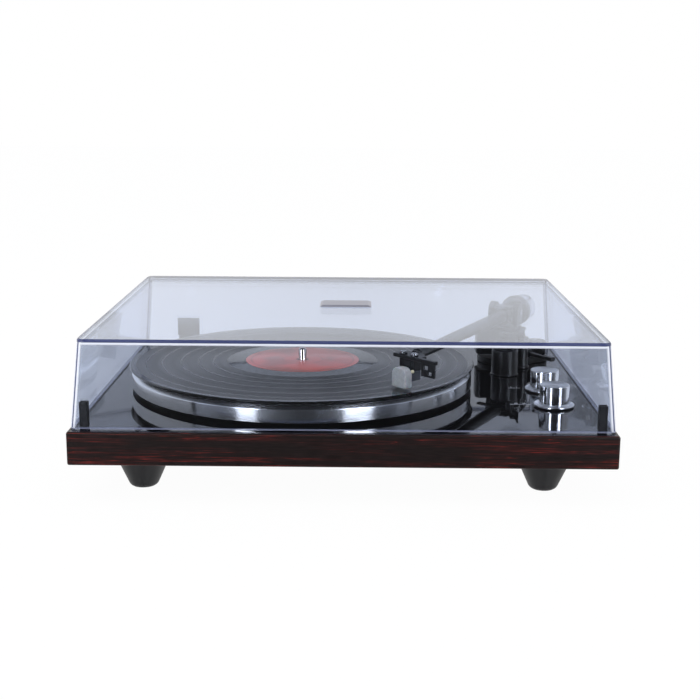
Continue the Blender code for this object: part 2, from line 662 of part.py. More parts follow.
def make_arm(lift):
    """The pieces that swing and rise together. Heights here are from the lift axis."""
    drop = TUBE_HEIGHT - LIFT_AXIS_HEIGHT
    gimbal = piece(
        "pivot_block",
        block((-8.6 * MM, -9 * MM, -8.5 * MM), (8.6 * MM, 9 * MM, 5.5 * MM), 1.2 * MM, 1),
        "satin black", parent=lift,
    )
    join(gimbal, rod(1.5 * MM, -13.5 * MM, 13.5 * MM, 12), turn=(0, 90, 0))
    forward, rearward = (90, 0, 0), (-90, 0, 0)
    axis_line = (0, 0, drop)
    shell = [
        (TUBE_ROOT_RADIUS - TUBE_WALL, TUBE_START), (TUBE_ROOT_RADIUS, TUBE_START),
        (TUBE_TIP_RADIUS, TUBE_END), (TUBE_TIP_RADIUS - TUBE_WALL, TUBE_END),
    ]
    piece("arm_tube", turned(shell, 24), "satin black", axis_line, forward, lift)
    stub = rod(5 * MM, 9 * MM + GAP, 56 * MM, 20)
    piece("counterweight_stub", stub, "steel", axis_line, rearward, lift)


def make_yoke(swing):
    base_low, base_high = 36 * MM, 38.4 * MM
    yoke = piece("arm_yoke", rod(12.5 * MM, base_low, base_high, 24), "satin black", parent=swing)
    join(yoke, rod(3 * MM, 20 * MM, base_low + MM, 16))
    cheek_in, cheek_out, radius = 9.2 * MM, 14.8 * MM, 8.85 * MM
    join(yoke, block((-cheek_out, -7 * MM, base_low), (cheek_out, 7 * MM, base_high)))
    cheek = [(-7 * MM, base_low), (7 * MM, base_low)] + arc(
        (0, LIFT_AXIS_HEIGHT), radius, -30, 210, 12
    )
    for side in (-1, 1):
        low, high = sorted((side * cheek_in, side * cheek_out))
        join(yoke, prism(cheek, low, high, "X"))
    bearing = rod(1.9 * MM, -16 * MM, 16 * MM, 12)
    carve(yoke, bearing, (0, 0, LIFT_AXIS_HEIGHT), (0, 90, 0))


def make_headshell(lift):
    """The flat headshell, and the cartridge below it, in a frame at the cartridge screws."""
    level = axis(
        "cartridge_frame", (0, -CARTRIDGE_REACH, -LIFT_AXIS_HEIGHT), (0, 0, -OFFSET_ANGLE), lift
    )
    plate_low, plate_high = 44.6 * MM, 47.6 * MM
    turn = math.radians(OFFSET_ANGLE)
    behind = CARTRIDGE_REACH - TUBE_END
    neck_at = (-behind * math.sin(turn), behind * math.cos(turn))
    neck_half = 5 * MM
    neck_side = (neck_half * math.cos(turn), neck_half * math.sin(turn))
    front = -3 * MM
    outline = [
        (-15.4 * MM, front), (32 * MM, front), (32 * MM, 0.6 * MM), (14 * MM, 1.2 * MM), (14 * MM, 6 * MM),
        (neck_at[0] + neck_side[0], neck_at[1] + neck_side[1]),
        (neck_at[0] - neck_side[0], neck_at[1] - neck_side[1]), (-15.4 * MM, 6 * MM),
    ]
    shell = piece("headshell", prism(outline, plate_low, plate_high), "satin black", parent=level)
    neck = rod(4 * MM, GAP, 3.4 * MM, 20)
    join(shell, neck, (*neck_at, TUBE_HEIGHT), (90, 0, OFFSET_ANGLE))
    bracket = block((17 * MM, front, 34 * MM), (31.4 * MM, front + 2 * MM, plate_low + MM))
    join(shell, bracket)
    for low, high in (((19.5, 39.5), (24.5, 43)), ((24, 35.5), (28.5, 38.5))):
        window = block((low[0] * MM, front - MM, low[1] * MM), (high[0] * MM, 0, high[1] * MM))
        carve(shell, window)

    body = [
        (-8.5 * MM, plate_low - GAP), (-8.5 * MM, 38.5 * MM), (-6 * MM, 36 * MM), (8.5 * MM, 36 * MM),
        (8.5 * MM, plate_low - GAP),
    ]
    piece("cartridge", prism(body, -2.4 * MM, 8.4 * MM, "Y"), "satin black", parent=level)
    holder = piece(
        "stylus_holder",
        block((-7 * MM, -3.2 * MM, 27.4 * MM), (7 * MM, 7 * MM, 36 * MM - GAP), 0.6 * MM, 1),
        "dark grey plastic", parent=level,
    )
    cantilever = [(-3 * MM, 28.6 * MM), (-3 * MM, 29.8 * MM), (-8.8 * MM, 26.6 * MM), (-8.8 * MM, 25.4 * MM)]
    join(holder, prism(cantilever, -0.6 * MM, 0.6 * MM, "X"))

    guard_axis = axis("stylus_guard_axis", (0, 0, 0), parent=level)
    low, high, half = 22.5 * MM, 38.9 * MM, 8 * MM
    crown = high - 5 * MM
    dome = [(-half, low), (half, low)] + arc((half - 5 * MM, crown), 5 * MM, 0, 90, 5) + arc(
        (-half + 5 * MM, crown), 5 * MM, 90, 180, 5
    )
    shell = prism(dome, -11.5 * MM, -3.6 * MM, "Y")
    guard = piece("stylus_guard", shell, "milky plastic", parent=guard_axis)
    wall = 1.2 * MM
    hollow = block((-half + wall, -11.5 * MM + wall, low + wall), (half - wall, 0, high - 3 * wall))
    carve(guard, hollow)


def make_counterweight(lift):
    """The threaded bush travels on the stub, the weight turns on it, and the dial on the weight."""
    line = (0, 0, TUBE_HEIGHT - LIFT_AXIS_HEIGHT)
    rearward = (-90, 0, 0)
    travel = axis("counterweight_axis", line, rearward, lift)
    piece("weight_bush", tube(5.4 * MM, 8.6 * MM, 30.8 * MM, 49 * MM, 24), "brass", parent=travel)
    edge = 0.8 * MM
    weight_low, weight_high, inner, outer = 30.4 * MM, 50.4 * MM, 8.9 * MM, 13 * MM
    weight = [
        (inner, weight_low), (outer - edge, weight_low), (outer, weight_low + edge),
        (outer, weight_high - edge), (outer - edge, weight_high), (inner, weight_high),
    ]
    piece("counterweight", turned(weight), "steel", parent=travel)
    dial_low, dial_high, dial_inner, dial_outer = 25 * MM, 30.1 * MM, 5.6 * MM, 14.5 * MM
    dial = [
        (dial_inner, dial_low), (dial_outer - 1.5 * MM, dial_low), (dial_outer, dial_low + 1.5 * MM),
        (dial_outer, dial_high), (dial_inner, dial_high),
    ]
    piece("force_dial", turned(dial), "satin black", parent=travel)


def main():
    for obj in list(bpy.data.objects):
        bpy.data.objects.remove(obj, do_unlink=True)
    make_plinth()
    make_feet()
    make_terminals()
    make_platter()
    make_drive()
    make_controls()
    lid = axis("lid_axis", (0, HINGE_Y, HINGE_Z))
    make_cover(lid)
    for side, x in (("left", -HINGE_X), ("right", HINGE_X)):
        make_hinge(side, x, lid)
    make_arm_base()
    make_cueing()
    swing = axis("arm_swing_axis", (*ARM_AT, PLATE_TOP), (0, 0, -ARM_ANGLE))
    make_yoke(swing)
    lift = axis("arm_lift_axis", (0, 0, LIFT_AXIS_HEIGHT), parent=swing)
    make_arm(lift)
    make_headshell(lift)
    make_counterweight(lift)


main()
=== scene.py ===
"""The looks of a belt-drive turntable with a clear hinged cover, built round its frame.

Shapes are in millimetres and heights are from the floor, unless a function says otherwise.
+X is to the right as seen from the front, and -Y is the front.
"""

import math

import bmesh
import bpy
from mathutils import Matrix, Vector


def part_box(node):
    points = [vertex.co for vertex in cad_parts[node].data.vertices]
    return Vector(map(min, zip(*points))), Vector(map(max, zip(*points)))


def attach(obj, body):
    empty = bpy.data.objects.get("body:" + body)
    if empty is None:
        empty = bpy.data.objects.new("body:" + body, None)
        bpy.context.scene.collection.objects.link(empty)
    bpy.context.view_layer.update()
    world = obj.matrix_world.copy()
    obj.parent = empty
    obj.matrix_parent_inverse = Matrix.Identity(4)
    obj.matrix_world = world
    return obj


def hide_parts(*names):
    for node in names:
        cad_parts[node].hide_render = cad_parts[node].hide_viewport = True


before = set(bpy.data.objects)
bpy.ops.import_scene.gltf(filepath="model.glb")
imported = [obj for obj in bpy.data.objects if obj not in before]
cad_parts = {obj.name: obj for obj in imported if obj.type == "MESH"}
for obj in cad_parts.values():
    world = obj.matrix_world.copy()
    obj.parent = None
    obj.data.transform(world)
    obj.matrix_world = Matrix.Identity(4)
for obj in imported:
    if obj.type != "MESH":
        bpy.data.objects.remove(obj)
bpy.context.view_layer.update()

MM = 0.001
STUDIO_WHITE = "ffffff"

# Cover: how far each wall leans in over its height, and where its rear wall stands
COVER_LEAN, COVER_REAR = 6.0, 166.5

# Tonearm, from the plate below its swing axis
ARM_TURN, OFFSET_TURN, CARTRIDGE_REACH = -27.0, -21.4, 222.5
TUBE_HEIGHT, LIFT_AXIS_HEIGHT = 45.0, 48.5


def span(node):
    """A node's lowest and highest corners, in millimetres."""
    low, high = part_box(node)
    return low / MM, high / MM


def middle(node):
    low, high = span(node)
    return (low + high) / 2


PLATE = span("top_plate")[1].z
PLATTER = middle("platter")
COVER_LOW, COVER_HIGH = span("dust_cover")


# Shapes: closed meshes in millimetres


def arc(centre, radius, start, end, steps):
    """Points along an arc, with its angles in degrees from +X."""
    angles = [math.radians(start + (end - start) * i / steps) for i in range(steps + 1)]
    return [(centre[0] + radius * math.cos(a), centre[1] + radius * math.sin(a)) for a in angles]


def disc(radius, steps=64, centre=(0, 0)):
    return arc(centre, radius, 0, 360, steps)[:-1]


def rounded_rectangle(low, high, radius, steps=8):
    corners = (
        (high[0] - radius, low[1] + radius, -90),
        (high[0] - radius, high[1] - radius, 0),
        (low[0] + radius, high[1] - radius, 90),
        (low[0] + radius, low[1] + radius, 180),
    )
    return [p for x, y, at in corners for p in arc((x, y), radius, at, at + 90, steps)]


def strap(first, first_radius, second, second_radius, steps=40):
    """The outline of a band drawn tight round two discs."""
    across = Vector(second) - Vector(first)
    heading = math.degrees(math.atan2(across.y, across.x))
    half = math.degrees(math.acos((first_radius - second_radius) / across.length))
    far = arc(second, second_radius, heading - half, heading + half, steps)
    return far + arc(first, first_radius, heading + half, heading + 360 - half, steps)


def loft(rings):
    """Rings of points with one count, each joined to the next, with capped ends."""
    shape = bmesh.new()
    loops = [[shape.verts.new(point) for point in ring] for ring in rings]
    shape.faces.new(loops[0])
    shape.faces.new(loops[-1])
    for a, b in zip(loops, loops[1:]):
        for i in range(len(a)):
            j = (i + 1) % len(a)
            shape.faces.new((a[i], a[j], b[j], b[i]))
    return shape


def prism(outline, low, high, along="Z"):
    """An outline extruded along an axis. It lies in Y and Z, X and Z, or X and Y."""
    axes = {
        "X": lambda a, b, c: (c, a, b),
        "Y": lambda a, b, c: (a, c, b),
        "Z": lambda a, b, c: (a, b, c),
    }[along]
    return loft([[axes(a, b, c) for a, b in outline] for c in (low, high)])


def block(low, high):
    outline = [(low[0], low[1]), (high[0], low[1]), (high[0], high[1]), (low[0], high[1])]
    return prism(outline, low[2], high[2])


def rod(radius, low, high, steps=48, along="Z"):
    return prism(disc(radius, steps), low, high, along)


def turned(profile, steps=96):
    """A profile of (radius, height) points spun about Z. Its ends lie on the axis, or it closes."""
    shape = bmesh.new()
    points = [shape.verts.new((radius, 0, height)) for radius, height in profile]
    pairs = list(zip(points, points[1:]))
    if profile[0][0] > 0:
        pairs.append((points[-1], points[0]))
    edges = [shape.edges.new(pair) for pair in pairs]
    bmesh.ops.spin(
        shape, geom=points + edges, axis=(0, 0, 1), cent=(0, 0, 0), angle=2 * math.pi,
        steps=steps, use_merge=True,
    )
    bmesh.ops.remove_doubles(shape, verts=shape.verts, dist=1e-4)
    return shape


def together(*shapes):
    """Several closed shapes as one mesh."""
    for other in shapes[1:]:
        carried = bpy.data.meshes.new("carried")
        other.to_mesh(carried)
        other.free()
        shapes[0].from_mesh(carried)
        bpy.data.meshes.remove(carried)
    return shapes[0]


def moved(shape, x=0, y=0, z=0, turn=0, tilt=0, about="X"):
    """The shape tilted about X or Y, turned about Z (degrees), then moved."""
    change = (
        Matrix.Translation((x, y, z))
        @ Matrix.Rotation(math.radians(turn), 4, "Z")
        @ Matrix.Rotation(math.radians(tilt), 4, about)
    )
    bmesh.ops.transform(shape, matrix=change, verts=shape.verts)
    return shape


def rounded(points, size, steps=4):
    """An open profile with each inner corner cut by a short arc-like run of that size."""
    made = [points[0]]
    for before, corner, after in zip(points, points[1:], points[2:]):
        b, c, a = Vector(before), Vector(corner), Vector(after)
        reach = min(size, (b - c).length / 2.1, (a - c).length / 2.1)
        start, end = c + (b - c).normalized() * reach, c + (a - c).normalized() * reach
        for i in range(steps + 1):
            t = i / steps
            made.append(tuple(start * (1 - t) ** 2 + c * (2 * t * (1 - t)) + end * t**2))
    return made + [points[-1]]


# Pieces


def place(x=0.0, y=0.0, z=0.0, turn=0.0, tilt=0.0):
    """Where a piece's own origin and axes lie: moved, turned about Z, then tilted about its X."""
    return (
        Matrix.Translation(Vector((x, y, z)) * MM)
        @ Matrix.Rotation(math.radians(turn), 4, "Z")
        @ Matrix.Rotation(math.radians(tilt), 4, "X")
    )


def piece(name, shape, finish, body, where=Matrix(), rounding=0.0, instead_of=()):
    """A named piece that rides on a body and may stand for nodes of the frame."""
    bmesh.ops.recalc_face_normals(shape, faces=shape.faces)
    mesh = bpy.data.meshes.new(name)
    shape.to_mesh(mesh)
    shape.free()
    mesh.transform(Matrix.Scale(MM, 4))
    mesh.materials.append(finish)
    mesh.shade_smooth()
    made = bpy.data.objects.new(name, mesh)
    bpy.context.scene.collection.objects.link(made)
    made.matrix_world = where
    if rounding:
        edges = made.modifiers.new("rounded edges", "BEVEL")
        edges.width = rounding * MM
        edges.segments = 3
        edges.limit_method = "ANGLE"
        edges.angle_limit = math.radians(32)
        edges.harden_normals = True
    else:
        mesh.set_sharp_from_angle(angle=math.radians(32))
    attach(made, body)
    if instead_of:
        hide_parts(*instead_of)
    return made


def finish_node(finish, *nodes):
    """Gives nodes of the frame a better material."""
    for node in nodes:
        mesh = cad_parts[node].data
        mesh.materials.clear()
        mesh.materials.append(finish)


# Materials


def linear(colour):
    """A hex sRGB colour as linear light with alpha 1."""
    channels = [int(colour[i : i + 2], 16) / 255 for i in (0, 2, 4)]
    return (*[c / 12.92 if c <= 0.04045 else ((c + 0.055) / 1.055) ** 2.4 for c in channels], 1.0)


def per(size):
    """How many of that size in millimetres fit in a metre, the unit of a pattern's scale."""
    return 1 / (size * MM)


def add(tree, kind, settings=None, links=None):
    """Adds a node. Settings are its properties or inputs, links the sockets that feed its inputs.

    A hex text set on an input is a colour, and stops are a ramp's positions and hex colours.
    """
    node = tree.nodes.new("ShaderNode" + kind)
    for key, value in (settings or {}).items():
        if key == "stops":
            elements = node.color_ramp.elements
            while len(elements) < len(value):
                elements.new(1.0)
            for element, (position, colour) in zip(elements, value):
                element.position = position
                element.color = linear(colour)
        elif isinstance(key, str) and hasattr(node, key):
            setattr(node, key, value)
        else:
            node.inputs[key].default_value = linear(value) if isinstance(value, str) else value
    for key, socket in (links or {}).items():
        tree.links.new(socket, node.inputs[key])
    return node


def blank(name):
    """An empty material, its node tree and the position on the piece, in metres."""
    made = bpy.data.materials.new(name)
    made.use_nodes = True
    made.node_tree.nodes.clear()
    return made, made.node_tree, add(made.node_tree, "TexCoord").outputs["Object"]


def show(made, shader):
    add(made.node_tree, "OutputMaterial", {}, {"Surface": shader.outputs[0]})
    return made


def grey(shade):
    """A grey of that shade, 0 to 255, as hex."""
    return f"{round(shade):02x}" * 3


def rosewood():
    """Rosewood veneer under satin lacquer: near-black with wavy dark red streaks along each side.

    The pores are drawn 0.7 mm wide, about three times the real width, so that they show.
    """
    made, tree, spot = blank("rosewood veneer, satin lacquer")
    xyz = add(tree, "SeparateXYZ", {}, {0: spot}).outputs
    across = add(tree, "CombineXYZ", {}, {0: xyz[1], 1: xyz[0], 2: xyz[2]})
    facing = add(tree, "SeparateXYZ", {}, {0: add(tree, "NewGeometry").outputs["Normal"]})
    sideways = add(tree, "Math", {"operation": "ABSOLUTE"}, {0: facing.outputs[0]})
    on_side = add(tree, "Math", {"operation": "GREATER_THAN", 1: 0.7}, {0: sideways.outputs[0]})
    grain = add(
        tree, "Mix", {"data_type": "VECTOR"}, {0: on_side.outputs[0], 4: spot, 5: across.outputs[0]}
    ).outputs[1]
    streak = add(tree, "Mapping", {"Scale": (per(110), per(2.2), per(2.2))}, {"Vector": grain})
    streaks = add(
        tree, "TexNoise", {"Scale": 1.0, "Detail": 3.0, "Roughness": 0.5, "Distortion": 0.7},
        {"Vector": streak.outputs[0]},
    )
    patch = add(tree, "Mapping", {"Scale": (per(150), per(12), per(12))}, {"Vector": grain})
    patches = add(
        tree, "TexNoise", {"Scale": 1.0, "Detail": 2.0, "Distortion": 0.5}, {"Vector": patch.outputs[0]}
    )
    pore = add(tree, "Mapping", {"Scale": (per(14), per(0.7), per(0.7))}, {"Vector": grain})
    pores = add(tree, "TexNoise", {"Scale": 1.0, "Detail": 3.0}, {"Vector": pore.outputs[0]})
    veins = add(
        tree, "ValToRGB",
        {"stops": [
            (0.0, "1a1313"), (0.46, "1f1515"), (0.525, "381716"), (0.545, "7a241e"), (0.565, "341716"),
            (0.66, "1c1313"), (1.0, "140f0f"),
        ]},
        {0: streaks.outputs[0]},
    )
    reach = add(tree, "ValToRGB", {"stops": [(0.36, grey(40)), (0.62, grey(255))]}, {0: patches.outputs[0]})
    colour = add(
        tree, "Mix", {"data_type": "RGBA", 6: "1d1515"}, {0: reach.outputs[0], 7: veins.outputs[0]}
    )
    fine = add(tree, "ValToRGB", {"stops": [(0.38, grey(175)), (0.6, grey(255))]}, {0: pores.outputs[0]})
    toned = add(
        tree, "Mix", {"data_type": "RGBA", "blend_type": "MULTIPLY", 0: 1.0},
        {6: colour.outputs[2], 7: fine.outputs[0]},
    )
    relief = add(tree, "Bump", {"Strength": 0.12, "Distance": 0.05 * MM}, {"Height": pores.outputs[0]})
    return show(made, add(
        tree, "BsdfPrincipled",
        {"Roughness": 0.4, "Coat Weight": 0.2, "Coat Roughness": 0.22, "Specular IOR Level": 0.2},
        {"Base Color": toned.outputs[2], "Normal": relief.outputs[0]},
    ))


def piano_black():
    """Polished black acrylic sheet: a mirror at low angles, with the faintest haze of handling."""
    made, tree, spot = blank("polished black sheet")
    haze = add(tree, "TexNoise", {"Scale": per(55), "Detail": 4.0}, {"Vector": spot})
    gloss = add(tree, "MapRange", {"To Min": 0.015, "To Max": 0.045}, {"Value": haze.outputs[0]})
    return show(made, add(
        tree, "BsdfPrincipled", {"Base Color": "060608", "IOR": 1.5}, {"Roughness": gloss.outputs[0]}
    ))


def grained(name, colour, roughness, speck=0.5, relief=0.25, metallic=0.0, vary=0.12):
    """Paint, plated or moulded surface: a soft sheen that varies over a speckled skin.

    The specks are drawn 0.3 to 0.8 mm wide, coarser than the real texture, so that they show.
    """
    made, tree, spot = blank(name)
    specks = add(tree, "TexNoise", {"Scale": per(speck), "Detail": 3.0}, {"Vector": spot})
    wear = add(tree, "TexNoise", {"Scale": per(speck * 30), "Detail": 2.0}, {"Vector": spot})
    gloss = add(
        tree, "MapRange", {"To Min": roughness * (1 - vary), "To Max": roughness * (1 + vary)},
        {"Value": wear.outputs[0]},
    )
    bumps = add(tree, "Bump", {"Strength": relief, "Distance": 0.03 * MM}, {"Height": specks.outputs[0]})
    return show(made, add(
        tree, "BsdfPrincipled", {"Base Color": colour, "Metallic": metallic},
        {"Roughness": gloss.outputs[0], "Normal": bumps.outputs[0]},
    ))


def lathe_turned(name, colour, side, face, ring=0.8, lines=0.1, stretch=0.5):
    """Metal turned on a lathe about the piece's own Z: light drawn out across fine lines round it.

    Its end face is duller. The lines are 0.5 to 0.9 mm apart, coarser than a real cut, so that
    they show.
    """
    made, tree, spot = blank(name)
    facing = add(tree, "SeparateXYZ", {}, {0: add(tree, "TexCoord").outputs["Normal"]})
    upward = add(tree, "Math", {"operation": "ABSOLUTE"}, {0: facing.outputs[2]})
    gloss = add(tree, "MapRange", {"To Min": side, "To Max": face}, {"Value": upward.outputs[0]})
    flat = add(tree, "VectorMath", {"operation": "MULTIPLY", 1: (1, 1, 0)}, {0: spot})
    radius = add(tree, "VectorMath", {"operation": "LENGTH"}, {0: flat.outputs[0]})
    height = add(tree, "SeparateXYZ", {}, {0: spot})
    cut = add(tree, "Math", {"operation": "ADD"}, {0: radius.outputs[1], 1: height.outputs[2]})
    rings = add(
        tree, "TexNoise", {"noise_dimensions": "1D", "Scale": per(ring), "Detail": 2.0},
        {"W": cut.outputs[0]},
    )
    bumps = add(tree, "Bump", {"Strength": lines, "Distance": 0.02 * MM}, {"Height": rings.outputs[0]})
    around = add(tree, "Tangent", {"direction_type": "RADIAL", "axis": "Z"})
    return show(made, add(
        tree, "BsdfPrincipled",
        {"Base Color": colour, "Metallic": 1.0, "Anisotropic": stretch, "Anisotropic Rotation": 0.25},
        {"Roughness": gloss.outputs[0], "Normal": bumps.outputs[0], "Tangent": around.outputs[0]},
    ))


def vinyl():
    """Pressed vinyl: five tracks whose grooves catch the light as fine rings of uneven strength.

    The rings are drawn 0.9 mm apart, far coarser than real grooves, so that they show. Light is
    drawn out across them, which makes the record brighter at its left and right.
    """
    made, tree, spot = blank("pressed vinyl")
    flat = add(tree, "VectorMath", {"operation": "MULTIPLY", 1: (1, 1, 0)}, {0: spot})
    radius = add(tree, "VectorMath", {"operation": "LENGTH"}, {0: flat.outputs[0]}).outputs[1]
    share = add(tree, "Math", {"operation": "DIVIDE", 1: 151 * MM}, {0: radius}).outputs[0]
    groove, gap, plain = grey(225), grey(150), grey(30)
    stops = [(0.0, plain), (0.437, plain), (0.439, groove)]
    for end in (0.515, 0.6, 0.7, 0.81, 0.9):
        stops += [(end, groove), (end + 0.002, gap), (end + 0.008, gap), (end + 0.01, groove)]
    stops += [(0.962, groove), (0.965, plain), (1.0, plain)]
    tracks = add(tree, "ValToRGB", {"stops": stops}, {0: share}).outputs[0]
    fine = add(
        tree, "TexNoise", {"noise_dimensions": "1D", "Scale": per(0.9), "Detail": 2.0}, {"W": radius}
    ).outputs[0]
    broad = add(
        tree, "TexNoise", {"noise_dimensions": "1D", "Scale": per(9), "Detail": 1.0}, {"W": radius}
    ).outputs[0]
    both = add(tree, "Math", {"operation": "ADD"}, {0: fine, 1: broad}).outputs[0]
    rings = add(
        tree, "MapRange", {"From Min": 0.7, "From Max": 1.3, "To Min": 0.4, "To Max": 0.95}, {"Value": both}
    ).outputs[0]
    shine = add(tree, "Mix", {"data_type": "FLOAT", 2: 0.6}, {0: tracks, 3: rings}).outputs[0]
    gloss = add(tree, "MapRange", {"To Min": 0.09, "To Max": 0.42}, {"Value": tracks}).outputs[0]
    around = add(tree, "Tangent", {"direction_type": "RADIAL", "axis": "Z"})
    return show(made, add(
        tree, "BsdfPrincipled",
        {"Base Color": "0c0c0e", "IOR": 1.52, "Anisotropic": 0.7, "Anisotropic Rotation": 0.25},
        {"Roughness": gloss, "Specular IOR Level": shine, "Tangent": around.outputs[0]},
    ))


def label_paper():
    """Coated paper printed salmon red, with a greyer wash to one side and darker rings."""
    made, tree, spot = blank("printed label paper")
    flat = add(tree, "VectorMath", {"operation": "MULTIPLY", 1: (1, 1, 0)}, {0: spot})
    radius = add(tree, "VectorMath", {"operation": "LENGTH"}, {0: flat.outputs[0]}).outputs[1]
    share = add(tree, "Math", {"operation": "DIVIDE", 1: 50 * MM}, {0: radius}).outputs[0]
    red, dark = "b8584f", "8a453f"
    rings = add(
        tree, "ValToRGB",
        {"stops": [
            (0.0, "551f1c"), (0.1, "551f1c"), (0.12, red), (0.34, red), (0.36, dark), (0.375, red),
            (0.88, red), (0.9, dark), (0.925, red), (1.0, red),
        ]},
        {0: share},
    )
    wash = add(tree, "TexNoise", {"Scale": per(38), "Detail": 3.0}, {"Vector": spot})
    washed = add(tree, "ValToRGB", {"stops": [(0.5, grey(0)), (0.62, grey(190))]}, {0: wash.outputs[0]})
    inks = add(
        tree, "Mix", {"data_type": "RGBA", 7: "6f5f58"}, {0: washed.outputs[0], 6: rings.outputs[0]}
    )
    fibres = add(tree, "TexNoise", {"Scale": per(0.4), "Detail": 2.0}, {"Vector": spot})
    bumps = add(tree, "Bump", {"Strength": 0.1, "Distance": 0.02 * MM}, {"Height": fibres.outputs[0]})
    return show(made, add(
        tree, "BsdfPrincipled", {"Roughness": 0.28, "Coat Weight": 0.3, "Coat Roughness": 0.15},
        {"Base Color": inks.outputs[2], "Normal": bumps.outputs[0]},
    ))


def acrylic():
    """Clear cast acrylic, faintly blue: its 3 mm edges gather the tint to navy beside a white painted
    highlight.

    Seen along the sheet the way through it is longer, so it is bluer there.
    """
    made, tree, spot = blank("clear blue-tinted acrylic")
    geometry = add(tree, "NewGeometry")
    xyz = add(tree, "SeparateXYZ", {}, {0: spot}).outputs
    rise = add(tree, "Math", {"operation": "SUBTRACT", 1: COVER_LOW.z * MM}, {0: xyz[2]}).outputs[0]
    lean = add(
        tree, "Math", {"operation": "MULTIPLY", 1: COVER_LEAN / (COVER_HIGH.z - COVER_LOW.z)}, {0: rise}
    ).outputs[0]
    distances = []
    for low, high, along in ((COVER_LOW.x, COVER_HIGH.x, xyz[0]), (COVER_LOW.y, COVER_REAR, xyz[1])):
        centred = add(tree, "Math", {"operation": "SUBTRACT", 1: (low + high) / 2 * MM}, {0: along})
        out = add(tree, "Math", {"operation": "ABSOLUTE"}, {0: centred.outputs[0]})
        reach = add(tree, "Math", {"operation": "ADD"}, {0: out.outputs[0], 1: lean})
        left = add(
            tree, "Math", {"operation": "SUBTRACT", 0: (high - low) / 2 * MM}, {1: reach.outputs[0]}
        )
        distances.append(left.outputs[0])
    drop = add(tree, "Math", {"operation": "SUBTRACT", 0: COVER_HIGH.z * MM}, {1: xyz[2]}).outputs[0]
    nearer = add(tree, "Math", {"operation": "MINIMUM"}, {0: distances[0], 1: distances[1]})
    further = add(tree, "Math", {"operation": "MAXIMUM"}, {0: distances[0], 1: distances[1]})
    inner = add(tree, "Math", {"operation": "MINIMUM"}, {0: further.outputs[0], 1: drop})
    to_edge = add(tree, "Math", {"operation": "MAXIMUM"}, {0: nearer.outputs[0], 1: inner.outputs[0]})
    facing = add(tree, "SeparateXYZ", {}, {0: geometry.outputs["Normal"]})
    on_top = add(tree, "Math", {"operation": "GREATER_THAN", 1: 0.7}, {0: facing.outputs[2]})
    widen = add(tree, "MapRange", {"To Min": 1.0, "To Max": 2.4}, {"Value": on_top.outputs[0]})
    edge = add(tree, "Math", {"operation": "MULTIPLY"}, {0: to_edge.outputs[0], 1: widen.outputs[0]})
    scaled = add(tree, "Math", {"operation": "MULTIPLY", 1: per(6.0)}, {0: edge.outputs[0]})
    # Colour across each edge: the navy tint, then a white band that is a painted highlight, then a grey
    # line.
    hue = add(
        tree, "ValToRGB",
        {"stops": [(0.0, "323a68"), (0.4, "323a68"), (0.45, "f4f7ff"), (0.7, "f4f7ff"), (0.74, "8f93a8")]},
        {0: scaled.outputs[0]},
    )
    solid = add(
        tree, "ValToRGB",
        {"stops": [
            (0.0, grey(240)), (0.42, grey(240)), (0.46, grey(235)), (0.68, grey(200)), (0.78, grey(0)),
        ]},
        {0: scaled.outputs[0]},
    )
    # The painted highlight band is kept off the top face.
    highlight_band = add(tree, "Math", {"operation": "GREATER_THAN", 1: 0.42}, {0: scaled.outputs[0]})
    hidden = add(tree, "Math", {"operation": "MULTIPLY"}, {0: highlight_band.outputs[0], 1: on_top.outputs[0]})
    kept = add(tree, "Math", {"operation": "SUBTRACT", 0: 1.0}, {1: hidden.outputs[0]})
    walled = add(tree, "Math", {"operation": "MULTIPLY"}, {0: solid.outputs[0], 1: kept.outputs[0]})
    foot = add(tree, "Math", {"operation": "MULTIPLY", 1: per(6.0)}, {0: rise})
    foot_hue = add(
        tree, "ValToRGB", {"stops": [(0.0, "9296ae"), (0.1, "9296ae"), (0.14, "f4f7ff")]},
        {0: foot.outputs[0]},
    )
    foot_solid = add(
        tree, "ValToRGB", {"stops": [(0.0, grey(200)), (0.07, grey(200)), (0.09, grey(0))]},
        {0: foot.outputs[0]},
    )
    low_first = add(tree, "Math", {"operation": "GREATER_THAN", 1: 0.14}, {0: foot.outputs[0]})
    edge_tint_and_highlight = add(
        tree, "Mix", {"data_type": "RGBA"},
        {0: low_first.outputs[0], 6: foot_hue.outputs[0], 7: hue.outputs[0]},
    )
    edge_share = add(
        tree, "Math", {"operation": "MAXIMUM"}, {0: walled.outputs[0], 1: foot_solid.outputs[0]}
    )
    slant = add(tree, "LayerWeight", {"Blend": 0.5})
    tint = add(
        tree, "ValToRGB", {"stops": [(0.0, "f9fbff"), (0.35, "f6f9ff"), (0.8, "eff3fb"), (1.0, "ebeffa")]},
        {0: slant.outputs["Facing"]},
    )
    inside = add(
        tree, "MapRange", {"To Min": 1.49, "To Max": 1 / 1.49}, {"Value": geometry.outputs["Backfacing"]}
    )
    share = add(tree, "Fresnel", {}, {"IOR": inside.outputs[0]})
    through = add(tree, "BsdfTransparent", {}, {"Color": tint.outputs[0]})
    mirror = add(tree, "BsdfPrincipled", {"Base Color": "f4f6fb", "Metallic": 1.0, "Roughness": 0.02})
    clear = add(
        tree, "MixShader", {}, {0: share.outputs[0], 1: through.outputs[0], 2: mirror.outputs[0]}
    )
    rim = add(tree, "BsdfPrincipled", {"Roughness": 0.12}, {"Base Color": edge_tint_and_highlight.outputs[2]})
    return show(made, add(
        tree, "MixShader", {}, {0: edge_share.outputs[0], 1: clear.outputs[0], 2: rim.outputs[0]}
    ))


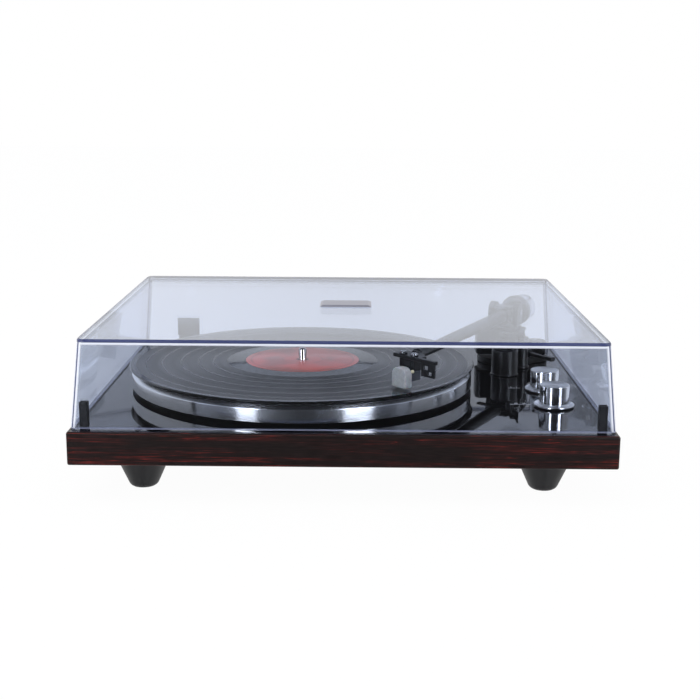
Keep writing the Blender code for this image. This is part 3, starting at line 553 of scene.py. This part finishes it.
def milky():
    """Natural nylon, moulded thin: cloudy, and lit from behind through its walls."""
    made, tree, spot = blank("milky moulded nylon")
    cloud = add(tree, "TexNoise", {"Scale": per(4), "Detail": 3.0}, {"Vector": spot})
    tone = add(tree, "ValToRGB", {"stops": [(0.3, "c4c6c2"), (0.7, "e2e2dc")]}, {0: cloud.outputs[0]})
    return show(made, add(
        tree, "BsdfPrincipled",
        {
            "Roughness": 0.35, "Transmission Weight": 0.35, "Subsurface Weight": 0.3,
            "Subsurface Scale": 1.5 * MM,
        },
        {"Base Color": tone.outputs[0]},
    ))


def circuit_board():
    """Green solder mask over copper tracks about 1 mm wide."""
    made, tree, spot = blank("circuit board")
    tracks = add(
        tree, "TexBrick", {"Color1": "1d5a34", "Color2": "226a3d", "Mortar": "2f8450", "Scale": per(40)},
        {"Vector": spot},
    )
    return show(made, add(tree, "BsdfPrincipled", {"Roughness": 0.35}, {"Base Color": tracks.outputs[0]}))


ROSEWOOD = rosewood()
PIANO_BLACK = piano_black()
VINYL = vinyl()
LABEL = label_paper()
ACRYLIC = acrylic()
MILKY = milky()
CIRCUIT = circuit_board()
ALUMINIUM = lathe_turned("turned and polished aluminium", "d6d8db", 0.17, 0.3, 0.9, 0.1, 0.85)
CHROME = lathe_turned("chromed brass with a spun top", "d9dbe0", 0.08, 0.5, 0.7, 0.08, 0.7)
STEEL = lathe_turned("turned stainless steel", "bfc1c4", 0.2, 0.3, 0.5, 0.15)
POLISHED = lathe_turned("polished spindle steel", "cfc9c8", 0.05, 0.12, 0.6, 0.06, 0.2)
BRASS = lathe_turned("turned brass", "c59a52", 0.22, 0.35, 0.5, 0.15)
ZINC = grained("bright zinc-plated steel", "b9bcc0", 0.28, 1.2, 0.15, metallic=1.0)
BLACK_PAINT = grained("satin black enamel", "0a0a0b", 0.34, 0.35, 0.3)
BLACK_PLASTIC = grained("moulded black ABS", "0c0c0d", 0.4, 0.45, 0.35)
DARK_PLASTIC = grained("dark grey moulded ABS", "1c1c1f", 0.48, 0.5, 0.5)
HOLDER_GREY = grained("mid grey moulded ABS", "47494d", 0.42, 0.4, 0.3)
RUBBER = grained("black rubber", "101012", 0.75, 0.8, 0.6)
BASE_PAINT = grained("textured black powder coat", "1a1a1c", 0.6, 0.7, 0.8)
BADGE = grained("satin silver-grey foil", "9a9aa6", 0.32, 2.5, 0.15, metallic=0.4)
INK = grained("white screen-printing ink", "e8e8ea", 0.6, 0.3, 0.1)
CREAM = grained("cream moulded nylon", "e2d6ae", 0.35, 0.4, 0.2)
RED_PLASTIC = grained("red moulded plastic", "b3231f", 0.35, 0.5, 0.2)
WHITE_PLASTIC = grained("white moulded plastic", "e3e3e0", 0.35, 0.5, 0.2)
BLUE_PLASTIC = grained("blue wire insulation", "2a4fa8", 0.4, 0.4, 0.1)
GREEN_PLASTIC = grained("green wire insulation", "2b7d42", 0.4, 0.4, 0.1)


# Chassis


def dress_chassis():
    finish_node(ROSEWOOD, "plinth")
    finish_node(PIANO_BLACK, "top_plate")
    finish_node(BASE_PAINT, "base_plate")
    finish_node(ZINC, "terminal_panel", "motor", "motor_plate")
    finish_node(CIRCUIT, "control_board")
    finish_node(RUBBER, "drive_belt", "bumper_left", "bumper_right")
    finish_node(DARK_PLASTIC, "speed_switch", "power_switch")
    finish_node(BRASS, "bearing_housing", "motor_pulley")
    for depth in ("front", "rear"):
        for side in ("left", "right"):
            make_foot(f"foot_{depth}_{side}")
            finish_node(ZINC, f"foot_screw_{depth}_{side}")


def make_foot(node):
    """A tapered cone with a rolled lower edge and a thin non-slip pad."""
    at, top = middle(node), span(node)[1].z
    where = place(at.x, at.y)
    cone = rounded([(0, top), (24, top), (23.6, top - 1.2), (11.6, 2.0), (10.0, 0.3), (0, 0.3)], 1.0)
    piece(f"{node}_cone", turned(cone), DARK_PLASTIC, "root", where, instead_of=[node])
    pad = turned([(0, 0.6), (9.2, 0.6), (9.2, 0), (0, 0)], 48)
    piece(f"{node}_pad", pad, RUBBER, "root", where)


def pan_screw(radius, height):
    """A low pan head with a flat crown, standing on height zero."""
    crown = [(0, height), (radius * 0.55, height), (radius, height * 0.35), (radius, 0), (0, 0)]
    return turned(rounded(crown, 0.4), 32)


def make_base_screws():
    low, high = span("base_plate")
    inset = 9
    for i, x in enumerate((low.x + inset, 0, high.x - inset)):
        for j, y in enumerate((low.y + inset, high.y - inset)):
            where = place(x, y, low.z, tilt=180)
            piece(f"base_screw_{i}_{j}", pan_screw(3, 0.28), ZINC, "root", where)


def make_terminals():
    """Jacks with coloured insulating rings, a knurled earth nut and the panel's screws."""
    face = span("terminal_panel")[1].y
    finish_node(BRASS, "phono_jack_left", "phono_jack_right")
    finish_node(BLACK_PLASTIC, "dc_inlet")
    finish_node(ZINC, "ground_post")
    for side, finish in (("left", WHITE_PLASTIC), ("right", RED_PLASTIC)):
        jack = middle(f"phono_jack_{side}")
        ring = turned([(4.3, 3.2), (5.2, 3.2), (5.6, 2.6), (5.6, 1.75), (4.3, 1.75)], 40)
        piece(f"jack_ring_{side}", ring, finish, "root", place(jack.x, face, jack.z, tilt=-90))
    nut, (low, high) = middle("ground_nut"), span("ground_nut")
    ribs = [
        ((5.0 if i % 2 else 4.7) * math.cos(a), (5.0 if i % 2 else 4.7) * math.sin(a))
        for i, a in enumerate(math.pi * 2 * k / 60 for k in range(60))
    ]
    piece(
        "earth_nut", prism(ribs, low.y - face, high.y - face), CHROME, "root",
        place(nut.x, face, nut.z, tilt=-90), rounding=0.25, instead_of=["ground_nut"],
    )
    low, high = span("terminal_panel")
    for side, x in (("left", low.x + 8), ("right", high.x - 8)):
        where = place(x, face, (low.z + high.z) / 2, tilt=-90)
        piece(f"panel_screw_{side}", pan_screw(2.6, 1.3), ZINC, "root", where)


# Platter


def make_platter():
    centre = place(PLATTER.x, PLATTER.y)
    low, high = span("platter")
    radius = (high.x - low.x) / 2
    rim = [
        (3.9, high.z), (radius - 3.4, high.z), (radius, high.z - 3.2), (radius, low.z), (radius - 8, low.z),
    ]
    under = [
        (radius - 8, high.z - 4.6), (62, high.z - 4.6), (62, low.z + 1.9), (58, low.z + 1.9),
        (58, high.z - 4.6), (14, high.z - 4.6), (14, 64), (3.9, 64),
    ]
    body = turned(rounded(rim, 0.5) + under, 192)
    piece("platter_turned", body, ALUMINIUM, "platter", centre, instead_of=["platter"])
    low, high = span("platter_mat")
    radius = (high.x - low.x) / 2
    mat = [(3.9, high.z), (radius - 0.4, high.z), (radius, high.z - 0.4), (radius, low.z), (3.9, low.z)]
    piece("slip_mat", turned(mat, 160), RUBBER, "platter", centre, instead_of=["platter_mat"])
    low, high = span("vinyl_record")
    radius, top = (high.x - low.x) / 2, high.z
    record = [
        (3.7, top), (50.5, top), (52, top - 0.25), (radius - 5, top - 0.25), (radius - 2.2, top),
        (radius - 0.6, top), (radius, top - 0.7), (radius, low.z + 0.7), (radius - 0.6, low.z),
        (3.7, low.z),
    ]
    piece("pressed_record", turned(record, 192), VINYL, "platter", centre, instead_of=["vinyl_record"])
    label = [(3.75, top + 0.12), (49.8, top + 0.12), (50, top + 0.02), (3.75, top + 0.02)]
    piece("record_label", turned(label, 128), LABEL, "platter", centre)
    low, high = span("spindle_shaft")
    radius, tip = (high.x - low.x) / 2, high.z
    dome_height = 1.5
    turns = [math.radians(angle) for angle in range(15, 91, 15)]
    dome = [(0, tip)] + [(radius * math.sin(a), tip - dome_height * (1 - math.cos(a))) for a in turns]
    shaft = dome + [(radius, low.z), (0, low.z)]
    piece("spindle", turned(shaft, 64), POLISHED, "platter", centre, instead_of=["spindle_shaft"])


# Controls


def make_knob(name):
    """A chromed drum on a flat flange with a thin rolled rim."""
    at, (low, high) = middle(f"{name}_knob"), span(f"{name}_knob")
    top, flange = high.z, PLATE + 1
    drum = (
        [(0, top - 0.15), (10.6, top - 0.15), (10.9, top)]
        + arc((11.45, top - 0.8), 0.8, 90, 0, 6)
        + [(12.25, flange + 2.4), (11.7, flange + 2.1)]
    )
    ring = arc((16.0, flange + 0.75), 0.75, 120, -90, 12)
    stem = [(3, flange), (3, low.z), (0, low.z)]
    shape = turned(drum + [(12.6, flange + 0.9), (15.0, flange + 0.9)] + ring + stem, 128)
    knob = f"{name}_knob"
    piece(f"{knob}_chromed", shape, CHROME, knob, place(at.x, at.y), instead_of=[knob])


def print_text(name, text, size, x, y):
    curve = bpy.data.curves.new(name, "FONT")
    curve.body = text
    curve.size = size * MM
    curve.align_x = "CENTER"
    curve.extrude = 0.02 * MM
    curve.materials.append(INK)
    made = bpy.data.objects.new(name, curve)
    bpy.context.scene.collection.objects.link(made)
    made.matrix_world = place(x, y, PLATE + 0.03)
    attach(made, "root")


def make_marks():
    """Generic printed numbers and ticks beside each knob."""
    speed, power = middle("speed_knob"), middle("power_knob")
    print_text("print_speed", "33    45", 3.2, speed.x - 27, speed.y + 7.2)
    print_text("print_power", "0    1", 3.2, power.x - 25, power.y + 9)
    lines = (("speed", speed.x - 27, speed.y + 5, 17), ("power", power.x - 25, power.y + 7, 10))
    for name, x, y, wide in lines:
        line = block((-wide / 2, -0.25, 0.01), (wide / 2, 0.25, 0.05))
        piece(f"print_line_{name}", line, INK, "root", place(x, y, PLATE))


# Cover


def dress_cover():
    finish_node(ACRYLIC, "dust_cover")
    finish_node(BADGE, "cover_badge")
    for side in ("left", "right"):
        bracket = f"hinge_bracket_{side}"
        finish_node(BLACK_PAINT, bracket, f"hinge_leaf_{side}")
        finish_node(STEEL, f"hinge_pin_{side}")
        at, front = middle(bracket), span(bracket)[0].y
        for end in (-1, 1):
            where = place(at.x + end * 8.6, front + 5.1, PLATE + 1.4)
            piece(f"hinge_screw_{side}_{end + 1}", pan_screw(1.4, 0.7), ZINC, "root", where)


# Tonearm: heights from the plate


def arm_place(x=0.0, y=0.0, z=0.0, turn=0.0, tilt=0.0):
    """A place in the arm's frame, where -Y runs forward along the tube."""
    pivot = middle("arm_yoke")
    return place(pivot.x, pivot.y, PLATE, ARM_TURN) @ place(x, y, z, turn, tilt)


def cartridge_place(x=0.0, y=0.0, z=0.0, turn=0.0, tilt=0.0):
    """A place in the cartridge's frame, at the middle of its two screws."""
    return arm_place(0, -CARTRIDGE_REACH, 0, OFFSET_TURN) @ place(x, y, z, turn, tilt)


def make_arm_base():
    pivot, knob = middle("arm_yoke"), middle("anti_skate_knob")
    base = place(pivot.x, pivot.y, PLATE)
    reach = (knob.x - pivot.x, knob.y - pivot.y)
    collar = prism(strap((0, 0), 26, reach, 11), 0.3, 6)
    piece("arm_collar", collar, BLACK_PAINT, "root", base, 0.7, ["arm_base_collar"])
    column = rounded([(0, 35.5), (11.2, 35.5), (12.4, 34.3), (12.4, 0), (0, 0)], 0.8)
    housing = prism(rounded_rectangle((-27.8, -10), (13.2, 14), 5), 8, 35.4)
    piece("arm_column", turned(column), BLACK_PAINT, "root", base, instead_of=["arm_tower"])
    piece("arm_housing", housing, BLACK_PAINT, "root", base, 0.8)
    seam = prism(rounded_rectangle((-27.9, -10.1), (13.3, 14.1), 5), 22, 22.4)
    piece("housing_seam", seam, RUBBER, "root", base)

    ribs = 60
    top, low = 20.0, 6.6
    rings = []
    for height, trim in ((low, 0.4), (low + 0.6, 0), (top - 1.4, 0), (top - 0.2, 0.9), (top, 1.8)):
        ring = []
        for i in range(ribs * 2):
            radius = 9.75 - trim - (0.35 if i % 2 else 0)
            turn = math.pi * i / ribs
            ring.append((radius * math.cos(turn), radius * math.sin(turn), height))
        rings.append(ring)
    where = place(knob.x, knob.y, PLATE)
    ribbed = loft(rings)
    piece("anti_skate_dial", ribbed, BLACK_PLASTIC, "anti_skate", where, instead_of=["anti_skate_knob"])
    pointer = block((-0.35, 2.2, top), (0.35, 7.4, top + 0.06))
    piece("anti_skate_pointer", pointer, INK, "anti_skate", where)


def make_cueing():
    at = middle("cue_housing")
    where = place(at.x, at.y, PLATE)
    post = rounded([(0, 30), (5, 30), (6, 29), (6, 3), (7.4, 1.6), (7.4, 0.3), (0, 0.3)], 0.8)
    piece("cue_post", turned(post, 64), BLACK_PAINT, "root", where, instead_of=["cue_housing"])
    finish_node(BLACK_PLASTIC, "cue_lever", "lift_bar")


def make_arm_rest():
    """A stout column, with a cradle open to the left on a thin post near its right edge."""
    column = rounded([(0, 24), (11, 24), (12, 23), (12, 1.6), (12.6, 1.2), (12.6, 0.3), (0, 0.3)], 0.8)
    post, hollow_floor, hollow_radius = (5.8, -1), 38.9, 6.1
    hollow = arc((0, hollow_floor + hollow_radius), hollow_radius, 0, -90, 12)
    cradle = [(-8.2, hollow_floor), (-8.2, 35), (-7.2, 34), (6.4, 34), (8.2, 35.8), (8.2, 46)] + hollow
    fillet = turned([(3.6, 24), (5.2, 24), (5.2, 24.6), (3.6, 26)], 48)
    shape = together(
        turned(column, 96), moved(rod(3.5, 23, 36), *post), moved(prism(cradle, -3, 3, "Y"), *post),
        moved(fillet, *post),
    )
    low = span("arm_rest")[0]
    where = place(low.x + 12, low.y + 12, PLATE)
    piece("arm_rest_painted", shape, BLACK_PAINT, "root", where, 0.35, ["arm_rest"])


def make_arm():
    radius_back, radius_front, start, end = 6.0, 4.2, 9.3, 208
    shell = rounded(
        [(radius_back - 1, start), (radius_back, start), (radius_front, end), (radius_front - 1, end)], 0.3
    )
    along = arm_place(0, 0, TUBE_HEIGHT, tilt=90)
    piece("arm_tube_tapered", turned(shell, 64), BLACK_PAINT, "arm", along, instead_of=["arm_tube"])
    ring = turned([(4.3, 199), (4.9, 199.4), (4.9, 206.6), (4.3, 207)] + [(4.0, 207), (4.0, 199)], 48)
    piece("headshell_clamp_ring", ring, BLACK_PLASTIC, "arm", along)

    gimbal = block((-8.6, -9, 40), (8.6, 9, 54))
    piece("gimbal_block", gimbal, BLACK_PAINT, "arm", arm_place(), 1.2, ["pivot_block"])
    cheek = [(-7, 36), (7, 36)] + arc((0, LIFT_AXIS_HEIGHT), 8.85, -30, 210, 40)
    cheeks = [prism(cheek, *sorted((side * 9.2, side * 14.8)), "X") for side in (-1, 1)]
    floor = block((-14.8, -7, 36), (14.8, 7, 38.4))
    ears = together(*cheeks, rod(12.5, 36, 38.4, 64), floor, rod(3, 20, 37))
    piece("gimbal_yoke", ears, BLACK_PAINT, "arm_carrier", arm_place(), 0.8, ["arm_yoke"])
    for side, out in (("left", -1), ("right", 1)):
        where = arm_place(out * 14.8, 0, LIFT_AXIS_HEIGHT, turn=out * 90, tilt=90)
        cone = turned([(0, 0.5), (0.9, 0.5), (1.1, 1.2), (2.6, 1.2), (3, 0.8), (3, 0), (0, 0)], 48)
        piece(f"pivot_screw_{side}", cone, STEEL, "arm_carrier", where)


def make_counterweight():
    rear = arm_place(0, 0, TUBE_HEIGHT, tilt=-90)
    thread = [(0, 9.3), (5, 9.3)]
    for i in range(26):
        height = 22 + i * 1.25
        thread += [(5, height), (4.55, height + 0.6)]
    thread += [(5, 55), (4.4, 56), (0, 56)]
    piece("threaded_stub", turned(thread, 48), STEEL, "arm", rear, instead_of=["counterweight_stub"])
    finish_node(BRASS, "weight_bush")
    inner, outer = 8.9, 13.0
    weight = [
        (inner, 30.4), (outer - 0.8, 30.4), (outer, 31.2), (outer, 40), (outer - 0.3, 40.2),
        (outer - 0.3, 40.8), (outer, 41), (outer, 49.6), (outer - 0.8, 50.4), (inner, 50.4),
    ]
    piece("counterweight_turned", turned(weight, 96), CHROME, "weight", rear, instead_of=["counterweight"])
    dial = [(5.6, 25), (13, 25), (14.5, 26.5), (14.5, 30.1), (5.6, 30.1)]
    piece("tracking_dial", turned(dial, 96), BLACK_PLASTIC, "dial", rear, instead_of=["force_dial"])
    ticks = []
    for i in range(40):
        long = 1.7 if i % 10 == 0 else 1.0
        tick = block((-0.15, 12.6 - long, 24.93), (0.15, 12.6, 25.02))
        ticks.append(moved(tick, turn=i * 9))
    piece("dial_ticks", together(*ticks), INK, "dial", rear)


def make_headshell():
    """The flat headshell with its finger lift and the windowed bracket below it."""
    low, high, front = 44.6, 47.6, -3.0
    turn = math.radians(-OFFSET_TURN)
    behind = CARTRIDGE_REACH - 208
    neck = (-behind * math.sin(turn), behind * math.cos(turn))
    side = (5 * math.cos(turn), 5 * math.sin(turn))
    outline = [
        (-15.4, front), (32, front), (32, 0.6), (14, 1.2), (14, 6), (neck[0] + side[0], neck[1] + side[1]),
        (neck[0] - side[0], neck[1] - side[1]), (-15.4, 6),
    ]
    where = cartridge_place()
    piece("headshell_plate", prism(outline, low, high), BLACK_PLASTIC, "arm", where, 0.5, ["headshell"])
    socket = moved(rod(4, 0, 3.4, 48), neck[0], neck[1], TUBE_HEIGHT, turn=-OFFSET_TURN, tilt=90)
    piece("headshell_neck", socket, BLACK_PLASTIC, "arm", where)
    bars = [
        ((17, front, 34), (19.5, -1, 44.8)), ((24.5, front, 38.5), (31.4, -1, 44.8)),
        ((19.4, front, 42.9), (24.6, -1, 44.8)), ((19.4, front, 34), (24, -1, 39.6)),
        ((23.9, front, 34), (31.4, -1, 35.6)), ((28.5, front, 35.5), (31.4, -1, 38.6)),
    ]
    bracket = together(*[block(a, b) for a, b in bars])
    piece("headshell_bracket", bracket, BLACK_PLASTIC, "arm", where, 0.2)
    for side_name, x in (("left", -6.35), ("right", 6.35)):
        washer = turned([(1.5, high), (3.3, high), (3.3, high + 0.7), (1.5, high + 0.7)], 40)
        piece(f"cartridge_washer_{side_name}", washer, RUBBER, "arm", cartridge_place(x))
        head = [(0, 1.0), (1.0, 1.0), (1.1, 1.9), (2.1, 1.9), (2.45, 1.5), (2.45, 0), (0, 0)]
        where_head = cartridge_place(x, 0, high + 0.7)
        piece(f"cartridge_screw_{side_name}", turned(head, 40), STEEL, "arm", where_head)


def make_cartridge():
    low, high = 36.0, 44.3
    where = cartridge_place()
    body = [(-8.5, high), (-8.5, 38.5), (-6, low), (8.5, low), (8.5, high)]
    piece("cartridge_body", prism(body, -2.4, 8.4, "Y"), BLACK_PLASTIC, "arm", where, 0.35, ["cartridge"])
    ribs = [block((x, -2.75, 38.6), (x + 0.8, -2.2, 43.4)) for x in (-7.2, -4.4, 3.6, 6.4)]
    piece("cartridge_ribs", together(*ribs), BLACK_PLASTIC, "arm", where, 0.1)
    finish_node(HOLDER_GREY, "stylus_holder")
    crown = arc((1.6, 32.5), 6.4, 0, 90, 12) + arc((-1.6, 32.5), 6.4, 90, 180, 12)
    shell = prism([(-8, 22.5), (8, 22.5), *crown], -11.5, -3.6, "Y")
    piece("guard_shell", shell, MILKY, "guard", where, 1.1, ["stylus_guard"])
    ball = turned([(0, 1.4)] + arc((0, 0), 1.4, 75, -75, 10) + [(0, -1.4)], 32)
    piece("cantilever_pivot", ball, CREAM, "arm", cartridge_place(7.2, -2.6, 35.6))
    leads = {"red": RED_PLASTIC, "green": GREEN_PLASTIC, "blue": BLUE_PLASTIC, "white": WHITE_PLASTIC}
    for i, (name, finish) in enumerate(leads.items()):
        x = -4.5 + 3 * i
        pin = moved(rod(0.55, 0, 3.2, 20), x, 11.4, 40.5, tilt=90)
        piece(f"cartridge_pin_{name}", pin, BRASS, "arm", where)
        curve = bpy.data.curves.new(f"lead_{name}", "CURVE")
        curve.dimensions = "3D"
        curve.bevel_depth = 0.42 * MM
        curve.bevel_resolution = 3
        curve.use_fill_caps = True
        curve.materials.append(finish)
        line = curve.splines.new("NURBS")
        route = [
            (x, 10.6, 40.5), (x, 13, 40.2), (x * 0.9 - 0.6, 15.5, 39.4), (x * 0.5 - 3, 16.5, 41),
            (x * 0.3 - 5.2, 15.2, 43.6),
        ]
        line.points.add(len(route) - 1)
        for point, spot in zip(line.points, route):
            point.co = (*[c * MM for c in spot], 1)
        line.order_u = 4
        line.use_endpoint_u = True
        lead = bpy.data.objects.new(f"lead_{name}", curve)
        bpy.context.scene.collection.objects.link(lead)
        lead.matrix_world = where
        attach(lead, "arm")


# Studio


def level(value):
    """A brightness from 0 to 1 as the hex grey that is that bright in linear light."""
    return grey(255 * (1.055 * value ** (1 / 2.4) - 0.055 if value > 0.0031 else 12.92 * value))


def smooth(tree, socket, start, end):
    """From 0 to 1 as the socket runs from start to end."""
    settings = {"interpolation_type": "SMOOTHSTEP", "From Min": start, "From Max": end}
    return add(tree, "MapRange", settings, {"Value": socket}).outputs[0]


def make_floor():
    """White paper that shows only the faintest shadow, and is left out of reflections."""
    made, tree, spot = blank("white studio paper")
    fibres = add(tree, "TexNoise", {"Scale": per(4), "Detail": 2.0}, {"Vector": spot})
    tone = add(tree, "ValToRGB", {"stops": [(0.3, "f5f5f6"), (0.7, "f8f8f9")]}, {0: fibres.outputs[0]})
    paper = add(tree, "BsdfPrincipled", {"Roughness": 0.9}, {"Base Color": tone.outputs[0]})
    lit = add(tree, "Emission", {"Color": STUDIO_WHITE, "Strength": 1.0})
    seen = add(tree, "Math", {"operation": "MULTIPLY", 1: 0.97}, {0: add(tree, "LightPath").outputs[0]})
    show(made, add(tree, "MixShader", {}, {0: seen.outputs[0], 1: paper.outputs[0], 2: lit.outputs[0]}))
    wide = 6
    mesh = bpy.data.meshes.new("floor")
    corners = [(-wide, -wide, 0), (wide, -wide, 0), (wide, wide, 0), (-wide, wide, 0)]
    mesh.from_pydata(corners, [], [(0, 1, 2, 3)])
    mesh.materials.append(made)
    floor = bpy.data.objects.new("floor", mesh)
    bpy.context.scene.collection.objects.link(floor)
    floor.visible_glossy = False


def make_world():
    """A white backdrop for the camera and soft white light, with a darker room in reflections.

    The room is bright behind, dark overhead, and has a soft box to each side of the camera that
    reaches below the floor's height. Each wall is a row of (heading, brightness): from behind, past
    the left, the front at 0 degrees and the right, to behind again.
    """
    world = bpy.data.worlds.new("studio")
    bpy.context.scene.world = world
    world.use_nodes = True
    tree = world.node_tree
    tree.nodes.clear()
    way = add(tree, "SeparateXYZ", {}, {0: add(tree, "TexCoord").outputs["Generated"]}).outputs
    forward = add(tree, "Math", {"operation": "MULTIPLY", 1: -1.0}, {0: way[1]})
    heading = add(tree, "Math", {"operation": "ARCTAN2"}, {0: way[0], 1: forward.outputs[0]})
    share = add(
        tree, "MapRange", {"From Min": -math.pi, "From Max": math.pi}, {"Value": heading.outputs[0]}
    )
    brightest = 12.0
    middle_part = ((-27, 0.3), (-15, 0.11), (0, 0.045), (10, 0.05), (20, 0.11), (29, 0.26))
    lower = ((-180, 0.95), (-105, 0.95), (-85, 0.3), (-40, 0.2), (-39.5, 2.0), (-28.5, 2.0), *middle_part,
             (30.5, 2.0), (47.5, 2.0), (49, 0.1), (64, 0.12), (85, 0.3), (105, 0.95), (180, 0.95))
    upper = ((-180, 0.8), (-160, 1.0), (-95, 1.0), (-67, 1.0), (-58, 0.8), (-52, 0.5), (-41, 0.6),
             (-39.5, 12.0), (-28.5, 12.0), *middle_part, (30.5, 12.0), (47.5, 12.0), (49, 0.27),
             (64, 0.3), (69, 0.9), (88, 0.75), (105, 0.8), (135, 0.8), (160, 1.0), (180, 0.8))
    rooms = []
    for walls in (lower, upper):
        stops = [((degrees + 180) / 360, level(value / brightest)) for degrees, value in walls]
        rooms.append(add(tree, "ValToRGB", {"stops": stops}, {0: share.outputs[0]}).outputs[0])
    room = add(
        tree, "Mix", {"data_type": "RGBA"}, {0: smooth(tree, way[2], -0.03, 0.03), 6: rooms[0], 7: rooms[1]}
    ).outputs[2]
    roofed = add(
        tree, "Mix", {"data_type": "RGBA", 7: level(0.06 / brightest)},
        {0: smooth(tree, way[2], 0.45, 0.75), 6: room},
    ).outputs[2]
    ray = add(tree, "LightPath").outputs
    mirrored = add(tree, "Background", {"Strength": brightest}, {"Color": roofed})
    soft = add(tree, "Background", {"Color": "f8faff", "Strength": 1.0})
    seen = add(tree, "Background", {"Color": STUDIO_WHITE, "Strength": 1.0})
    lit = add(
        tree, "MixShader", {}, {0: ray["Is Glossy Ray"], 1: soft.outputs[0], 2: mirrored.outputs[0]}
    )
    mix = add(tree, "MixShader", {}, {0: ray["Is Camera Ray"], 1: lit.outputs[0], 2: seen.outputs[0]})
    add(tree, "OutputWorld", {}, {"Surface": mix.outputs[0]})


def make_studio():
    make_floor()
    make_world()
    lamp = bpy.data.lights.new("soft_box", "AREA")
    lamp.shape = "SQUARE"
    lamp.size = 1.6
    lamp.energy = 16
    made = bpy.data.objects.new("soft_box", lamp)
    bpy.context.scene.collection.objects.link(made)
    made.location = (-0.9, -0.7, 1.9)
    aim = Vector((0, 0, 0.05)) - Vector(made.location)
    made.rotation_euler = aim.to_track_quat("-Z", "Y").to_euler()
    made.visible_camera = made.visible_glossy = False
    bpy.context.scene.view_settings.view_transform = "Standard"
    if hasattr(bpy.context.scene, "cycles"):
        bpy.context.scene.cycles.transparent_max_bounces = 32


def make_camera():
    lens = bpy.data.cameras.new("camera")
    lens.lens, lens.sensor_width = 62.0, 36.0
    lens.clip_start, lens.clip_end = 0.05, 50
    made = bpy.data.objects.new("camera", lens)
    bpy.context.scene.collection.objects.link(made)
    pitch, yaw, roll = 12.04, 0.33, 0.38
    made.matrix_world = (
        Matrix.Translation(Vector((10, -1052.3, 308.8)) * MM)
        @ Matrix.Rotation(math.radians(yaw), 4, "Z")
        @ Matrix.Rotation(math.radians(90 - pitch), 4, "X")
        @ Matrix.Rotation(math.radians(roll), 4, "Z")
    )
    bpy.context.scene.camera = made


make_camera()
make_studio()
dress_chassis()
make_base_screws()
make_terminals()
make_platter()
for knob in ("speed", "power"):
    make_knob(knob)
make_marks()
dress_cover()
make_arm_base()
make_cueing()
make_arm_rest()
make_arm()
make_counterweight()
make_headshell()
make_cartridge()
